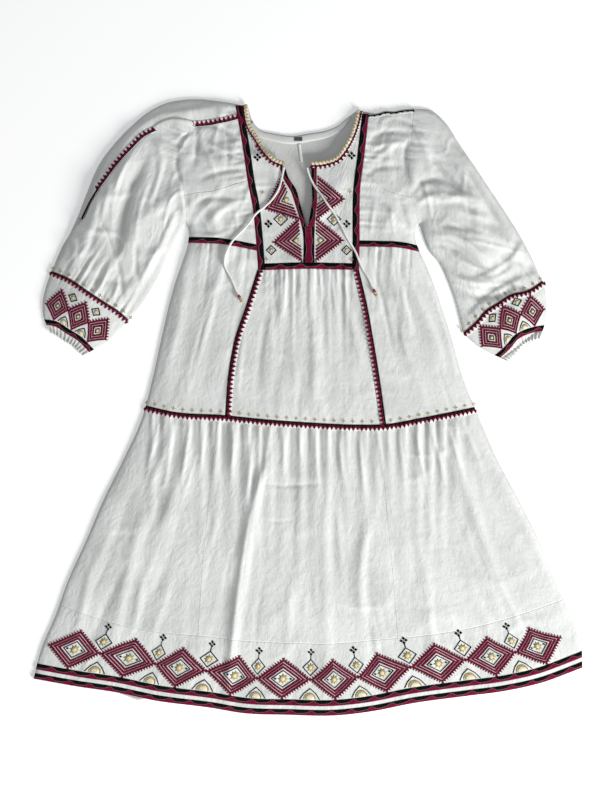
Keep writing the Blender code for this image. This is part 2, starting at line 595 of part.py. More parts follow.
def skirt():
    """The upper tier between its stripes, the band over the seam, the lower tier and the hem."""
    side_left, side_right = line("side_left"), line("side_right")
    band_left, band_right = line("bib_band_left"), line("bib_band_right")
    tier = line("tier")
    tier_low = beside(tier, -SAW_BAND)
    stripe_left, stripe_right = line("stripe_left"), line("stripe_right")
    inner_left, inner_right = beside(stripe_left, SAW_BAND), beside(stripe_right, -SAW_BAND)
    under_bib = beside(line("bib_bottom"), -SAW_BAND)
    under_left = beside(line("empire_left"), -EMPIRE_BAND)
    under_right = beside(line("empire_right"), -EMPIRE_BAND)
    left_edge = beside(np.vstack([band_left[band_left[:, 1] > 264], stripe_left[1:]]), -1.5 * SEAM)
    right_edge = beside(np.vstack([band_right[band_right[:, 1] > 264], stripe_right[1:]]), 1.5 * SEAM)

    front("skirt_upper_left", (under_left, left_edge, tier, side_left), 13, 7)
    front("skirt_upper_centre", (under_bib, inner_right, tier, inner_left), 26, 7)
    front("skirt_upper_right", (under_right, side_right, tier, right_edge), 13, 7)
    front("skirt_stripe_left", (under_bib, inner_left, tier, stripe_left), 1, 12, "saw_trim", TRIM_LIFT)
    front("skirt_stripe_right", (under_bib, stripe_right, tier, inner_right), 1, 12, "saw_trim", TRIM_LIFT)
    strip("tier_band_front", tier, SAW_BAND, side_right, side_left, 72, "saw_trim")

    stitch = line("hem_stitch")
    seam_left, seam_right = line("low_seam_left"), line("low_seam_right")
    front("skirt_lower_left", (tier_low, seam_left, stitch, side_left), 21, 6, ease=1.3)
    front("skirt_lower_centre", (tier_low, seam_right, stitch, seam_left), 42, 6, ease=1.3)
    front("skirt_lower_right", (tier_low, side_right, stitch, seam_right), 22, 6, ease=1.3)
    hem()


def hem():
    """The hem band, and two ribbons on it made from its own rows of points."""
    rim = line("hem")
    rows = [0.0, HEM_RIBBON, HEM_GAP, HEM_GAP + HEM_RIBBON]
    upper = patch(line("hem_stitch"), line("side_right"), beside(rim, rows[3]), line("side_left"), 46, 2)
    edges = [beside(rim, distance) for distance in rows]
    lower = [
        patch(edges[k + 1], line("side_right"), edges[k], line("side_left"), 46, 1) for k in (2, 1, 0)
    ]
    grid = seamed(np.vstack([upper] + [part[1:] for part in lower]))
    top = height(grid)
    cloth("hem_band_front", grid, top, FRONT_WALL, "cotton")
    for name, first in (("hem_ribbon_upper", 2), ("hem_ribbon_lower", 4)):
        rows_of = slice(first, first + 2)
        cloth(name, grid[rows_of], top[rows_of] + SEAM + RIBBON_WALL, RIBBON_WALL, "ribbon")


def backs():
    """The back's pieces, flat on the floor under the front."""
    side_left, side_right = line("side_left"), line("side_right")
    tier, stitch = line("tier"), line("hem_stitch")
    waist = smooth([(-226, 312), (-120, 306), (0, 303), (120, 306), (206, 300)])
    flat("skirt_upper_back", ring_of(waist, side_right, tier, side_left), 0, BACK_WALL, "cotton_inside")
    flat("skirt_lower_back", ring_of(tier, side_right, stitch, side_left), 0, BACK_WALL, "cotton_inside")
    ring = ring_of(stitch, side_right, line("hem"), side_left)
    flat("hem_band_back", ring, 0, BACK_WALL, "cotton_inside")

    top_left = line("top_left")
    yoke_left = top_left[top_left[:, 0] > -205]
    upper = np.vstack([yoke_left, line("back_neck")[1:], line("shoulder_right")[5:]])
    back_left = np.vstack([[(-205, 575)], line("armhole_left"), side_left[2:]])
    back_right = side_line("right")
    ring = ring_of(upper, back_right, waist, back_left, top_step=NECK_STEP)
    flat("back_bodice", ring, 0, BACK_WALL, "cotton_inside")

    hole = line("armhole_right")[::-1]
    ring = ring_of(hole, line("sleeve_right_outer"), line("cuff_right"), line("sleeve_right_under"))
    flat("sleeve_right_back", ring, 0, BACK_WALL, "cotton_inside")
    hole = np.vstack([[(-205, 575)], line("armhole_left")])
    lower = smooth([(-446, 326), (-458, 306), (-480, 256)])
    outer = np.vstack([top_left[top_left[:, 0] < -205][::-1], lower])
    ring = ring_of(hole, line("sleeve_left_under"), line("cuff_left"), outer)
    flat("sleeve_left_back", ring, 0, BACK_WALL, "cotton_inside")
    for side, left, right in (("left", "outer", "under"), ("right", "under", "outer")):
        top, end = line(f"cuff_{side}"), beside(line(f"cuff_end_{side}"), -CUFF_RIBBON)
        ring = ring_of(top, line(f"cuff_{side}_{right}"), end, line(f"cuff_{side}_{left}"))
        flat(f"cuff_{side}_back", ring, 0, BACK_WALL, "cotton_inside")


def slab(name, size, centre, lean, floor, slot):
    """A small flat rectangle that lies on the back's inside."""
    bm = bmesh.new()
    bmesh.ops.create_cube(bm, size=MM)
    bmesh.ops.scale(bm, vec=size, verts=bm.verts)
    mesh = bpy.data.meshes.new(name)
    bm.to_mesh(mesh)
    bm.free()
    made = link(name, mesh, slot)
    made.location = Vector((*centre, floor + size[2] / 2)) * MM
    made.rotation_euler.z = lean


def inside_neck():
    """The facing round the back neck, the bare size tab on it and the hanging loop below."""
    rim = beside(line("back_neck"), -SEAM)
    depth = FACING_DEPTH * np.sin(np.linspace(0, math.pi, len(rim))) ** 0.5
    way = np.gradient(rim, axis=0)
    way /= np.linalg.norm(way, axis=1)[:, None]
    low = rim + depth[:, None] * np.stack([way[:, 1], -way[:, 0]], axis=1)
    keep = slice(9, -5, 3)
    floor = BACK_WALL + SEAM
    flat("back_neck_facing", np.vstack([rim[keep], low[keep][::-1]]), floor, FACING_WALL, "cotton_inside")
    slab("size_tab", TAB_SIZE, TAB_CENTRE, 0, floor + FACING_WALL + SEAM, "tab")
    slab("hanging_loop", LOOP_SIZE, LOOP_CENTRE, LOOP_LEAN, floor, "cotton")


def over(x, y, reach):
    """The highest that the front stands within reach of a place."""
    spots = [(x, y)] + [
        (x + reach * math.cos(a), y + reach * math.sin(a)) for a in np.linspace(0, 2 * math.pi, 9)[:-1]
    ]
    return float(height(np.array(spots)).max())


def ties():
    """The two rouleau ties that lie over the bodice, each with a bead and a metal tip."""
    for side, route in TIES.items():
        flat_route = smooth(route, 3 * TIE_DIAMETER)
        lying = TRIM_LIFT + TIE_CLEARANCE + TIE_DIAMETER / 2
        tops = np.array([over(x, y, 3.5) for x, y in flat_route])
        tops = np.maximum.reduce([tops, np.r_[tops[1:], tops[-1]], np.r_[tops[0], tops[:-1]]])
        points = np.column_stack([flat_route, tops + lying])

        curve = bpy.data.curves.new(f"tie_{side}", "CURVE")
        curve.dimensions = "3D"
        curve.bevel_depth = TIE_DIAMETER / 2 * MM
        curve.bevel_resolution = 2
        curve.use_fill_caps = True
        spline = curve.splines.new("POLY")
        spline.points.add(len(points) - 1)
        for point, place in zip(spline.points, points):
            point.co = (*(place * MM), 1)
        link(f"tie_{side}", curve, "cord")

        end, way = Vector(points[-1]), Vector(points[-1] - points[-2])
        way.z = 0
        way.normalize()
        lift = Vector((0, 0, (BEAD_DIAMETER - TIE_DIAMETER) / 2))
        bead_at = end + way * (BEAD_LENGTH / 2 + SEAM) + lift
        tip_at = bead_at + way * (BEAD_LENGTH / 2 + SEAM + TIP_LENGTH / 2)
        turned(f"tie_{side}_bead", BEAD_DIAMETER, BEAD_DIAMETER, BEAD_LENGTH, bead_at, way, "bead")
        turned(f"tie_{side}_tip", TIP_DIAMETER, TIP_DIAMETER / 2, TIP_LENGTH, tip_at, way, "tip")


def turned(name, near, far, length, centre, way, slot):
    """A short round piece along a way, of one diameter at its near end and another at its far end."""
    bm = bmesh.new()
    bmesh.ops.create_cone(
        bm, cap_ends=True, segments=12, radius1=near / 2 * MM, radius2=far / 2 * MM, depth=length * MM
    )
    mesh = bpy.data.meshes.new(name)
    bm.to_mesh(mesh)
    bm.free()
    made = link(name, mesh, slot)
    made.location = centre * MM
    made.rotation_euler = way.to_track_quat("Z", "Y").to_euler()


def main():
    for thing in list(bpy.data.objects):
        bpy.data.objects.remove(thing)
    bpy.context.scene.collection.children.link(bpy.data.collections.new(NAME))
    backs()
    inside_neck()
    bodice()
    sleeves()
    skirt()
    ties()


main()
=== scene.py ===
# %% [markdown]
# # A peasant dress laid flat
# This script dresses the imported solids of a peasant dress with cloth, trims, embroidery and ties.
# The dress lies on its back on a pale floor and is seen straight from above. Every length in the
# tables is in millimetres, as on a paper pattern, and becomes metres when a mesh is made.

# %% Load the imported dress
import math
from collections import namedtuple

import bpy
import numpy as np
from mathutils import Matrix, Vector


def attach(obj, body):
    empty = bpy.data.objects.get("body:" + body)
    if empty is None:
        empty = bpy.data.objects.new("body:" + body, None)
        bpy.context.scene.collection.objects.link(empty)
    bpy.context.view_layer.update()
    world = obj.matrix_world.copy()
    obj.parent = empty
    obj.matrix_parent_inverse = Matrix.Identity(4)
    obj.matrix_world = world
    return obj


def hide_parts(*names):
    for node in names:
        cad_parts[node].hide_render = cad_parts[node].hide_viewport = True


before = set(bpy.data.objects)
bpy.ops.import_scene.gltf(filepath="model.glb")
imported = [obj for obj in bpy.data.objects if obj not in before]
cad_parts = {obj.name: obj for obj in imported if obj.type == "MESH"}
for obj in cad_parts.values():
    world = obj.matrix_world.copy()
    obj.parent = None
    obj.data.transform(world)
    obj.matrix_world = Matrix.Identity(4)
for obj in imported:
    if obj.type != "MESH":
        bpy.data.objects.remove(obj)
bpy.context.view_layer.update()
MM = 0.001
BODY = "root"

# %% [markdown]
# ## Camera and light
# The photographer stood over the dress, so the camera looks straight down. A long lens from far
# away keeps the outline true, as flat-lay pictures are taken. The light is a large soft panel low
# on the right, which draws the folds, and a weaker one overhead, which fills them.

# %% Camera straight above
PIXEL = 1.87  # millimetres of the floor in one pixel of the 600 x 800 picture
LENS = 85.0
SENSOR = 36.0
FOCUS_HEIGHT = 8.0  # the middle height of the cloth
PICTURE = (600, 800)  # its width and height in pixels
MIDDLE = (308, 407.5)  # the pixel that shows the frame's origin
view_centre = ((PICTURE[0] / 2 - MIDDLE[0]) * PIXEL, (MIDDLE[1] - PICTURE[1] / 2) * PIXEL)
camera = bpy.data.objects.new("camera", bpy.data.cameras.new("camera"))
camera.data.lens = LENS
camera.data.sensor_width = SENSOR
camera.location = Vector((*view_centre, PICTURE[1] * PIXEL * LENS / SENSOR + FOCUS_HEIGHT)) * MM
bpy.context.scene.collection.objects.link(camera)
bpy.context.scene.camera = camera
print("camera height:", round(camera.location.z, 3))


# %% Soft studio light
def soft_light(name, place, aim, size, power, colour=(1, 1, 1)):
    """A square lamp of that size at a place, turned to its aim."""
    lamp = bpy.data.lights.new(name, "AREA")
    lamp.shape = "SQUARE"
    lamp.size = size
    lamp.energy = power
    lamp.color = colour
    made = bpy.data.objects.new(name, lamp)
    made.location = place
    made.rotation_euler = (Vector(aim) - Vector(place)).to_track_quat("-Z", "Y").to_euler()
    bpy.context.scene.collection.objects.link(made)


soft_light("key", (3.1, -2.9, 1.7), (0, 0, 0), 1.5, 330, (1.0, 0.99, 0.98))
soft_light("top", (-0.6, 0.9, 3.0), (0, 0, 0), 2.6, 16, (0.97, 0.99, 1.0))
world = bpy.data.worlds.new("studio")
world.use_nodes = True
world.node_tree.nodes["Background"].inputs["Color"].default_value = (0.95, 0.97, 1.0, 1)
world.node_tree.nodes["Background"].inputs["Strength"].default_value = 0.29
bpy.context.scene.world = world
bpy.context.scene.view_settings.view_transform = "Standard"


# %% [markdown]
# ## A short way to write shader maths
# A finish is a small sum of waves, noise and masks. One class wraps a socket, so that the sum can
# be written with plus and times signs, and each sign adds the Math node that it stands for. A
# second class holds a material's tree and adds every other kind of node.

# %% Sockets that can be added and multiplied
class Value:
    """A number that varies over the surface, with the usual signs."""

    def __init__(self, finish, socket):
        self.finish = finish
        self.socket = socket

    def sum(self, operation, *others):
        places = dict(enumerate((self, *others)))
        return self.finish.add("ShaderNodeMath", {"operation": operation}, places)

    def __add__(self, other):
        return self.sum("ADD", other)

    def __sub__(self, other):
        return self.sum("SUBTRACT", other)

    def __rsub__(self, other):
        return (self * -1).sum("ADD", other)

    def __mul__(self, other):
        return self.sum("MULTIPLY", other)

    def sine(self):
        return self.sum("SINE")

    def size(self):
        return self.sum("ABSOLUTE")

    def between(self, low, high):
        """0 below low, 1 above high, and a smooth step from one to the other."""
        settings = {"interpolation_type": "SMOOTHSTEP"}
        return self.finish.add("ShaderNodeMapRange", settings, {"Value": self, 1: low, 2: high})


# %% A material's tree
class Finish:
    """A material whose nodes are added one by one."""

    def __init__(self, name, **equal):
        self.material = bpy.data.materials.new(name)
        self.material.use_nodes = True
        self.tree = self.material.node_tree
        self.shader = self.tree.nodes["Principled BSDF"]
        for socket, value in equal.items():
            self.shader.inputs[socket.replace("_", " ")].default_value = value

    def add(self, kind, settings=None, sockets=None, output=0):
        """A new node: its settings first, then its sockets' values or links. Returns one output."""
        node = self.tree.nodes.new(kind)
        for setting, value in (settings or {}).items():
            setattr(node, setting, value)
        for key, value in (sockets or {}).items():
            if isinstance(value, Value):
                self.tree.links.new(value.socket, node.inputs[key])
            else:
                node.inputs[key].default_value = value
        return Value(self, node.outputs[output])

    def across(self):
        """The piece's own UV map in metres, as its two numbers."""
        uv = self.add("ShaderNodeUVMap", {"uv_map": "cloth"})
        parts = self.add("ShaderNodeSeparateXYZ", None, {0: uv})
        return uv, parts, Value(self, parts.socket.node.outputs[1])

    def noise(self, place, scale, detail=2.0, rough=0.5):
        sockets = {"Vector": place, "Scale": scale, "Detail": detail, "Roughness": rough}
        return self.add("ShaderNodeTexNoise", None, sockets)

    def stretched(self, place, scale):
        return self.add("ShaderNodeMapping", None, {"Vector": place, "Scale": scale})

    def mixed(self, factor, first, second):
        """Two colours mixed, each a tuple or an output."""
        colours = [c if isinstance(c, Value) else (*c, 1) for c in (first, second)]
        sockets = {0: factor, 6: colours[0], 7: colours[1]}
        return self.add("ShaderNodeMix", {"data_type": "RGBA"}, sockets, output=2)

    def wear(self, colour, height=None, deep=0.0003, strength=1.0):
        """Links a colour, and heights as bump that is so many metres deep, to the shader."""
        self.tree.links.new(colour.socket, self.shader.inputs["Base Color"])
        if height is not None:
            sockets = {"Height": height, "Distance": deep, "Strength": strength}
            bump = self.add("ShaderNodeBump", None, sockets)
            self.tree.links.new(bump.socket, self.shader.inputs["Normal"])
        return self.material


# %% [markdown]
# ## Cotton
# The dress is a thin plain-weave cotton. Warp and weft pass over and under each other about 18
# times in a centimetre, here as two sine waves multiplied, with slubs, which are threads that are
# thicker for a while. A larger noise makes the cloth a little warmer and cooler in places, as
# washed cotton is, and soft crinkles stay between the folds. The colour is also painted darker at
# the bottom of each fold, a painted shade, and the back and the facing are greyer copies of the
# same cotton, painted shade for cloth that lies under the front.

# %% Cotton finish
THREAD = 0.00055  # metres from one thread to the next
TURN = 2 * math.pi
PAINTED_FOLD_SHADE = 0.55  # how much darker the colour is painted at the bottom of a fold: painted shade
CRINKLE_DEPTH = 0.0003  # metres that a bump of 1 stands for
RIB = 0.0009  # metres from one rib of a ribbon to the next


def woven(name, light, shade, crinkle, thread=THREAD):
    """A plain-weave cloth between two near colours, with crinkles of that depth in metres."""
    finish = Finish(name, Roughness=0.88, Sheen_Weight=0.12, Sheen_Roughness=0.6)
    uv, u, v = finish.across()
    weave = (u * (TURN / thread / 2)).sine() * (v * (TURN / thread / 2)).sine()
    slub = finish.noise(finish.stretched(uv, (900, 40, 1)), 1.0) + finish.noise(
        finish.stretched(uv, (40, 900, 1)), 1.0
    )
    soft = finish.noise(uv, 9.0, 3.0)
    crumple = finish.noise(finish.stretched(uv, (1.0, 0.55, 1)), 70.0, 3.0, 0.55)
    crease = 1 - (crumple - 0.5).size() * 2
    fine = finish.noise(uv, 240.0, 2.0)
    mask = (soft * 0.75 + fine * 0.25).between(0.35, 0.65)
    colour = finish.mixed(mask, shade, light)
    # Painted shade: the colour is mixed towards a darker copy of the cloth where the fold shade stored on the
    # mesh says the cloth lies low in a fold, as shade falls there.
    painted_shade = finish.add("ShaderNodeAttribute", {"attribute_name": "painted_shade"}, output=2)
    deep = tuple(0.72 * part for part in shade)
    colour = finish.mixed(painted_shade.between(0.0, 1.0) * PAINTED_FOLD_SHADE, colour, deep)
    height = weave * 0.10 + slub * 0.10 + crease * (crinkle / CRINKLE_DEPTH) + fine * 0.25
    return finish.wear(colour, height, CRINKLE_DEPTH, 0.8)


cotton = woven("cotton", (0.742, 0.760, 0.740), (0.655, 0.668, 0.645), 0.0013)
# The back and the neck facing are the same cotton as the front, made greyer: painted shade for cloth that
# lies under the front and inside the neck.
cotton_inside = woven("cotton_inside", (0.64, 0.65, 0.63), (0.56, 0.565, 0.545), 0.0008)
shaded_facing_cotton = woven("shaded_facing_cotton", (0.69, 0.70, 0.685), (0.64, 0.648, 0.63), 0.0003)
cord_cotton = woven("cord_cotton", (0.83, 0.83, 0.80), (0.76, 0.76, 0.73), 0.0002, 0.0007)
loop_cotton = woven("loop_cotton", (0.86, 0.86, 0.84), (0.80, 0.80, 0.78), 0.0001)

# %% [markdown]
# ## Thread and ribbon
# Satin stitches are straight threads side by side, so their finish is a row of fine ridges across
# the stitched bar, softly shiny; the ridges also lighten the thread's colour a little, a painted
# sheen. The ribbons are woven in two colours that meet in small scallops, like a twisted cord, so a
# wave along the ribbon moves the border between crimson and black. A thin pale line along that
# border is a painted highlight, such as a twisted cord shows at its edges.

# %% Thread finishes
CRIMSON = (0.112, 0.003, 0.020)
CRIMSON_LIGHT = (0.190, 0.008, 0.040)
BLACK = (0.0015, 0.002, 0.002)
BLACK_LIGHT = (0.004, 0.006, 0.006)
GOLD = (0.36, 0.285, 0.085)
GOLD_LIGHT = (0.50, 0.415, 0.17)
CREAM = (0.76, 0.68, 0.47)
CREAM_LIGHT = (0.84, 0.78, 0.60)
STITCH = 0.0005  # metres from one embroidery thread to the next


def thread(name, dark, light, roughness=0.55):
    """Embroidery thread laid side by side across a bar."""
    finish = Finish(name, Roughness=roughness, Specular_IOR_Level=0.05)
    uv, u, v = finish.across()
    ridges = (u * (TURN / STITCH)).sine()
    patchy = finish.noise(uv, 260.0, 2.0)
    # The noise gives each thread its own uneven tone; the ridges lighten the colour a little along each
    # thread's crest, a painted sheen.
    colour = finish.mixed((patchy + ridges * 0.12).between(0.3, 0.75), dark, light)
    return finish.wear(colour, ridges * 0.5 + patchy, 0.00018, 0.8)


crimson_thread = thread("crimson_thread", CRIMSON, CRIMSON_LIGHT)
black_thread = thread("black_thread", BLACK, BLACK_LIGHT)
gold_thread = thread("gold_thread", GOLD, GOLD_LIGHT, 0.42)
cream_thread = thread("cream_thread", CREAM, CREAM_LIGHT)
white_thread = thread("white_thread", (0.70, 0.70, 0.68), (0.80, 0.80, 0.78))


def two_colours(name, scallop=0.038, width=0.0125, swing=0.0027, both_edges=False):
    """Ribbon that is crimson on one half of its width, or in its middle, and black elsewhere."""
    finish = Finish(name, Roughness=0.65, Specular_IOR_Level=0.04)
    uv, u, v = finish.across()
    way = u * (TURN / scallop)
    wave = (way + (way + 1.1).sine() * 0.75).sine() * swing
    if both_edges:
        meeting = (v - width * 0.5).size() - width * 0.3 + wave
    else:
        meeting = v + wave - width * 0.52
    side = meeting.between(-0.0002, 0.0002)
    # Painted highlight: a thin pale line along the border between the colours, mixed in a little below,
    # stands for the shine on a twisted cord's edges.
    painted_highlight_line = 1 - meeting.size().between(0.0001, 0.0005)
    rib = (u * (TURN / RIB)).sine()
    patchy = finish.noise(uv, 300.0, 2.0)
    crimson = finish.mixed(patchy.between(0.3, 0.7), CRIMSON, CRIMSON_LIGHT)
    black = finish.mixed(patchy.between(0.3, 0.7), BLACK, BLACK_LIGHT)
    colour = finish.mixed(painted_highlight_line * 0.35, finish.mixed(side, crimson, black), (0.5, 0.42, 0.40))
    height = rib * 0.25 + (side - 0.5).size() * 1.2
    return finish.wear(colour, height, 0.0004, 0.9)


ribbon_finish = two_colours("ribbon_finish")
narrow_ribbon_finish = two_colours("narrow_ribbon_finish", 0.034, 0.010, 0.0022)
placket_finish = two_colours("placket_finish", 0.034, 0.0205, 0.0012, True)

# %% [markdown]
# ## The pattern's lines
# A dressmaker draws a garment as lines on paper: side seams, armholes, necklines, hems. The same
# lines cut the solids. Those that run down the dress and those that run across it are kept apart,
# and a panel is the cloth between four of them.

# %% Lines that run down and across the dress
# down the dress, as x, y points in millimetres
DOWN = {
    "side_left": [
        (-226, 344), (-223, 322), (-226, 302), (-236, 272), (-251, 227), (-273, 137), (-292, 51),
        (-312, -23), (-346, -98), (-383, -173), (-415, -248), (-449, -323), (-475, -394),
        (-499, -450), (-514, -508),
    ],
    "side_right": [
        (208, 344), (201, 325), (205, 302), (219, 272), (237, 227), (267, 137), (292, 51),
        (322, -23), (355, -98), (395, -173), (432, -248), (462, -323), (494, -394), (512, -445),
        (514, -487),
    ],
    "armhole_left": [
        (-213, 536), (-229, 506), (-238, 474), (-238, 442), (-233, 410), (-229, 380), (-227, 342),
    ],
    "armhole_right": [(197, 560), (194, 520), (190, 482), (187, 450), (189, 418), (195, 382), (209, 342)],
    "bib_band_left": [(-136, 567), (-121, 482), (-112, 420), (-103, 373), (-98, 326), (-93, 260)],
    "bib_band_right": [(114, 553), (105, 472), (97, 405), (96, 347), (96, 300), (95, 258)],
    "placket_left": [(-55, 456), (-45, 426), (-31, 402), (-25, 384), (-17, 358), (-10, 330), (-9, 258)],
    "slit_left": [(-45, 458), (-36, 429), (-22, 407), (-16, 386), (-9, 360), (-3, 338)],
    "slit_right": [(6, 460), (7, 410), (8, 389), (5, 367), (0, 338)],
    "placket_right": [(16, 460), (16, 410), (17, 389), (14, 362), (12, 330), (12, 258)],
    "stripe_left": [(-93, 262), (-116, 190), (-137, 128), (-149, 61), (-155, -20)],
    "stripe_right": [(94, 262), (110, 194), (122, 128), (133, 61), (146, -32)],
    "low_seam_left": [(-168, -36), (-178, -129), (-188, -218), (-195, -290), (-201, -379), (-204, -430)],
    "low_seam_right": [(143, -45), (146, -147), (155, -254), (166, -379), (170, -436)],
    "sleeve_left_under": [(-228, 345), (-241, 329), (-256, 302), (-282, 242), (-309, 197), (-336, 164)],
    "cuff_left_under": [(-336, 164), (-356, 142), (-378, 122), (-398, 110), (-412, 102)],
    "cuff_left_outer": [(-480, 256), (-491, 226), (-497, 197), (-495, 168), (-487, 148)],
    "sleeve_right_outer": [
        (197, 560), (230, 556), (256, 535), (282, 496), (312, 452), (342, 407), (372, 362),
        (400, 317), (423, 272), (438, 236),
    ],
    "sleeve_right_under": [
        (211, 345), (216, 320), (228, 291), (247, 268), (259, 243), (272, 209), (290, 142),
    ],
    "cuff_right_under": [(290, 142), (300, 130), (316, 116), (337, 104), (362, 92)],
    "cuff_right_outer": [(438, 238), (445, 217), (447, 194), (446, 165), (440, 145)],
}

# across it, from left to right
ACROSS = {
    "neck_left": [(-113, 567), (-106, 529), (-91, 504), (-76, 481), (-62, 467), (-42, 459)],
    "neck_right": [(3, 460), (31, 462), (51, 469), (65, 486), (78, 510), (86, 534), (91, 556)],
    "top_left": [
        (-430, 361), (-412, 408), (-393, 452), (-361, 496), (-330, 528), (-295, 556), (-266, 570),
        (-236, 576), (-155, 572), (-128, 567),
    ],
    "trim_left": [
        (-431, 356), (-412, 394), (-385, 432), (-362, 463), (-339, 488), (-310, 516), (-280, 530),
        (-250, 535), (-214, 536), (-181, 539), (-160, 543), (-128, 551),
    ],
    "shoulder_right": [(108, 550), (128, 551), (146, 556), (159, 555), (175, 558), (198, 560)],
    "bust_left": [(-230, 397), (-205, 402), (-178, 405), (-146, 415), (-110, 426)],
    "bust_right": [(98, 441), (112, 434), (127, 422), (146, 407), (166, 400), (194, 393)],
    "empire_left": [(-226, 319), (-199, 318), (-172, 317), (-135, 312), (-94, 304)],
    "empire_right": [(93, 312), (135, 311), (174, 309), (206, 303)],
    "bib_bottom": [(-98, 268), (-45, 270), (2, 271), (50, 270), (98, 269)],
    "tier": [
        (-306, 4), (-245, -9), (-162, -14), (-82, -22), (1, -28), (84, -32), (147, -31), (209, -20),
        (314, 1),
    ],
    "hem_stitch": [
        (-472, -366), (-421, -385), (-352, -406), (-288, -419), (-199, -427), (-109, -437),
        (-38, -440), (54, -441), (123, -435), (227, -425), (296, -414), (400, -386), (496, -352),
    ],
    "hem": [
        (-516, -508), (-432, -523), (-359, -534), (-288, -549), (-181, -563), (-120, -573),
        (-40, -576), (54, -577), (123, -569), (193, -555), (295, -541), (365, -532), (434, -517),
        (516, -487),
    ],
    "cuff_left": [(-486, 259), (-442, 240), (-410, 218), (-378, 197), (-352, 180), (-328, 158)],
    "cuff_end_left": [(-503, 166), (-468, 160), (-446, 146), (-425, 133), (-400, 108)],
    "cuff_right": [(284, 136), (312, 160), (331, 182), (351, 195), (378, 212), (410, 220), (446, 243)],
    "cuff_end_right": [(346, 94), (373, 119), (384, 133), (400, 143), (420, 150), (450, 155)],
    "back_neck": [
        (-113, 567), (-103, 536), (-91, 521), (-62, 513), (-26, 509), (-1, 513), (34, 519),
        (54, 527), (71, 541), (91, 556),
    ],
}

# the outline of the whole front, lines in order round it, True where one is run backwards
OUTLINE = [
    ("top_left", False), ("back_neck", False), ("shoulder_right", False),
    ("sleeve_right_outer", False), ("cuff_right_outer", False), ("cuff_right_under", True),
    ("sleeve_right_under", True), ("side_right", False), ("hem", True), ("side_left", True),
    ("sleeve_left_under", False), ("cuff_left_under", False), ("cuff_left_outer", True),
]


# %% [markdown]
# ## Drawing with the lines
# A smooth curve goes through each line's points. Two curves are cut where they cross, and a panel
# is filled between four curves as a Coons patch, which blends the two pairs of sides. Its rows and
# columns then follow the panel's own edges, as the threads of a well-cut panel do.

# %% Curves and patches
def smooth(points, step=4.0):
    """A smooth curve through the points, with one of its own every step or so."""
    p = np.array(points, float)
    chord = np.r_[0, np.cumsum(np.linalg.norm(np.diff(p, axis=0), axis=1))]
    slope = np.gradient(p, chord, axis=0)
    s = np.linspace(0, chord[-1], max(2, round(chord[-1] / step) + 1))
    k = np.clip(np.searchsorted(chord, s, side="right") - 1, 0, len(p) - 2)
    h = (chord[k + 1] - chord[k])[:, None]
    t = (s - chord[k])[:, None] / h
    start = (2 * t**3 - 3 * t**2 + 1) * p[k] + (t**3 - 2 * t**2 + t) * h * slope[k]
    end = (3 * t**2 - 2 * t**3) * p[k + 1] + (t**3 - t**2) * h * slope[k + 1]
    return start + end


LINES = {name: smooth(points) for name, points in {**DOWN, **ACROSS}.items()}


def line(name):
    return LINES[name]


def beside(curve, distance):
    """The curve that far to the left of its way, which is to +X of a curve that runs down."""
    way = np.gradient(curve, axis=0)
    way /= np.linalg.norm(way, axis=1)[:, None]
    return curve + distance * np.stack([-way[:, 1], way[:, 0]], axis=1)


def run_on(curve, length=40.0):
    """The curve with a straight run past each end, so that it crosses its neighbours."""
    first = curve[0] - (curve[1] - curve[0]) / np.linalg.norm(curve[1] - curve[0]) * length
    last = curve[-1] + (curve[-1] - curve[-2]) / np.linalg.norm(curve[-1] - curve[-2]) * length
    return np.vstack([first, curve, last])


def travelled(curve):
    """How far along the curve each of its points lies."""
    return np.r_[0, np.cumsum(np.linalg.norm(np.diff(curve, axis=0), axis=1))]


def crossing(a, b, a_end, b_end):
    """How far along a and b they cross, at the crossing nearest to their starts (0) or ends (1)."""
    p, r = a[:-1, None], np.diff(a, axis=0)[:, None]
    q, s = b[None, :-1], np.diff(b, axis=0)[None]
    turn = r[..., 0] * s[..., 1] - r[..., 1] * s[..., 0]
    turn = np.where(abs(turn) < 1e-12, 1e-12, turn)
    gap = q - p
    t = (gap[..., 0] * s[..., 1] - gap[..., 1] * s[..., 0]) / turn
    u = (gap[..., 0] * r[..., 1] - gap[..., 1] * r[..., 0]) / turn
    i, j = np.nonzero((t >= 0) & (t <= 1) & (u >= 0) & (u <= 1))
    if not len(i):
        raise ValueError(f"two lines near {a[0].round()} and {b[0].round()} do not cross")
    along_a, along_b = travelled(a), travelled(b)
    at_a = along_a[i] + t[i, j] * np.diff(along_a)[i]
    at_b = along_b[j] + u[i, j] * np.diff(along_b)[j]
    cost = abs(a_end * along_a[-1] - at_a) + abs(b_end * along_b[-1] - at_b)
    return at_a[cost.argmin()], at_b[cost.argmin()]


def stretch(curve, start, end, share):
    """The curve's points at the given shares of the way from start to end."""
    s = start + (end - start) * share
    along = travelled(curve)
    return np.stack([np.interp(s, along, curve[:, k]) for k in (0, 1)], axis=1)


def patch(top, right, bottom, left, u, v):
    """Rows of points over the cloth between four lines, at the shares u across and v down."""
    top, right, bottom, left = (run_on(c) for c in (top, right, bottom, left))
    top_0, left_0 = crossing(top, left, 0, 0)
    top_1, right_0 = crossing(top, right, 1, 0)
    bottom_0, left_1 = crossing(bottom, left, 0, 1)
    bottom_1, right_1 = crossing(bottom, right, 1, 1)
    t, b = stretch(top, top_0, top_1, u), stretch(bottom, bottom_0, bottom_1, u)
    l, r = stretch(left, left_0, left_1, v), stretch(right, right_0, right_1, v)
    u, v = np.asarray(u)[None, :, None], np.asarray(v)[:, None, None]
    corners = (1 - u) * ((1 - v) * t[0] + v * b[0]) + u * ((1 - v) * t[-1] + v * b[-1])
    return (1 - v) * t + v * b + (1 - u) * l[:, None] + u * r[:, None] - corners


def ruler(length, step):
    """How many steps of about that size cover a length."""
    return max(1, round(length / step))


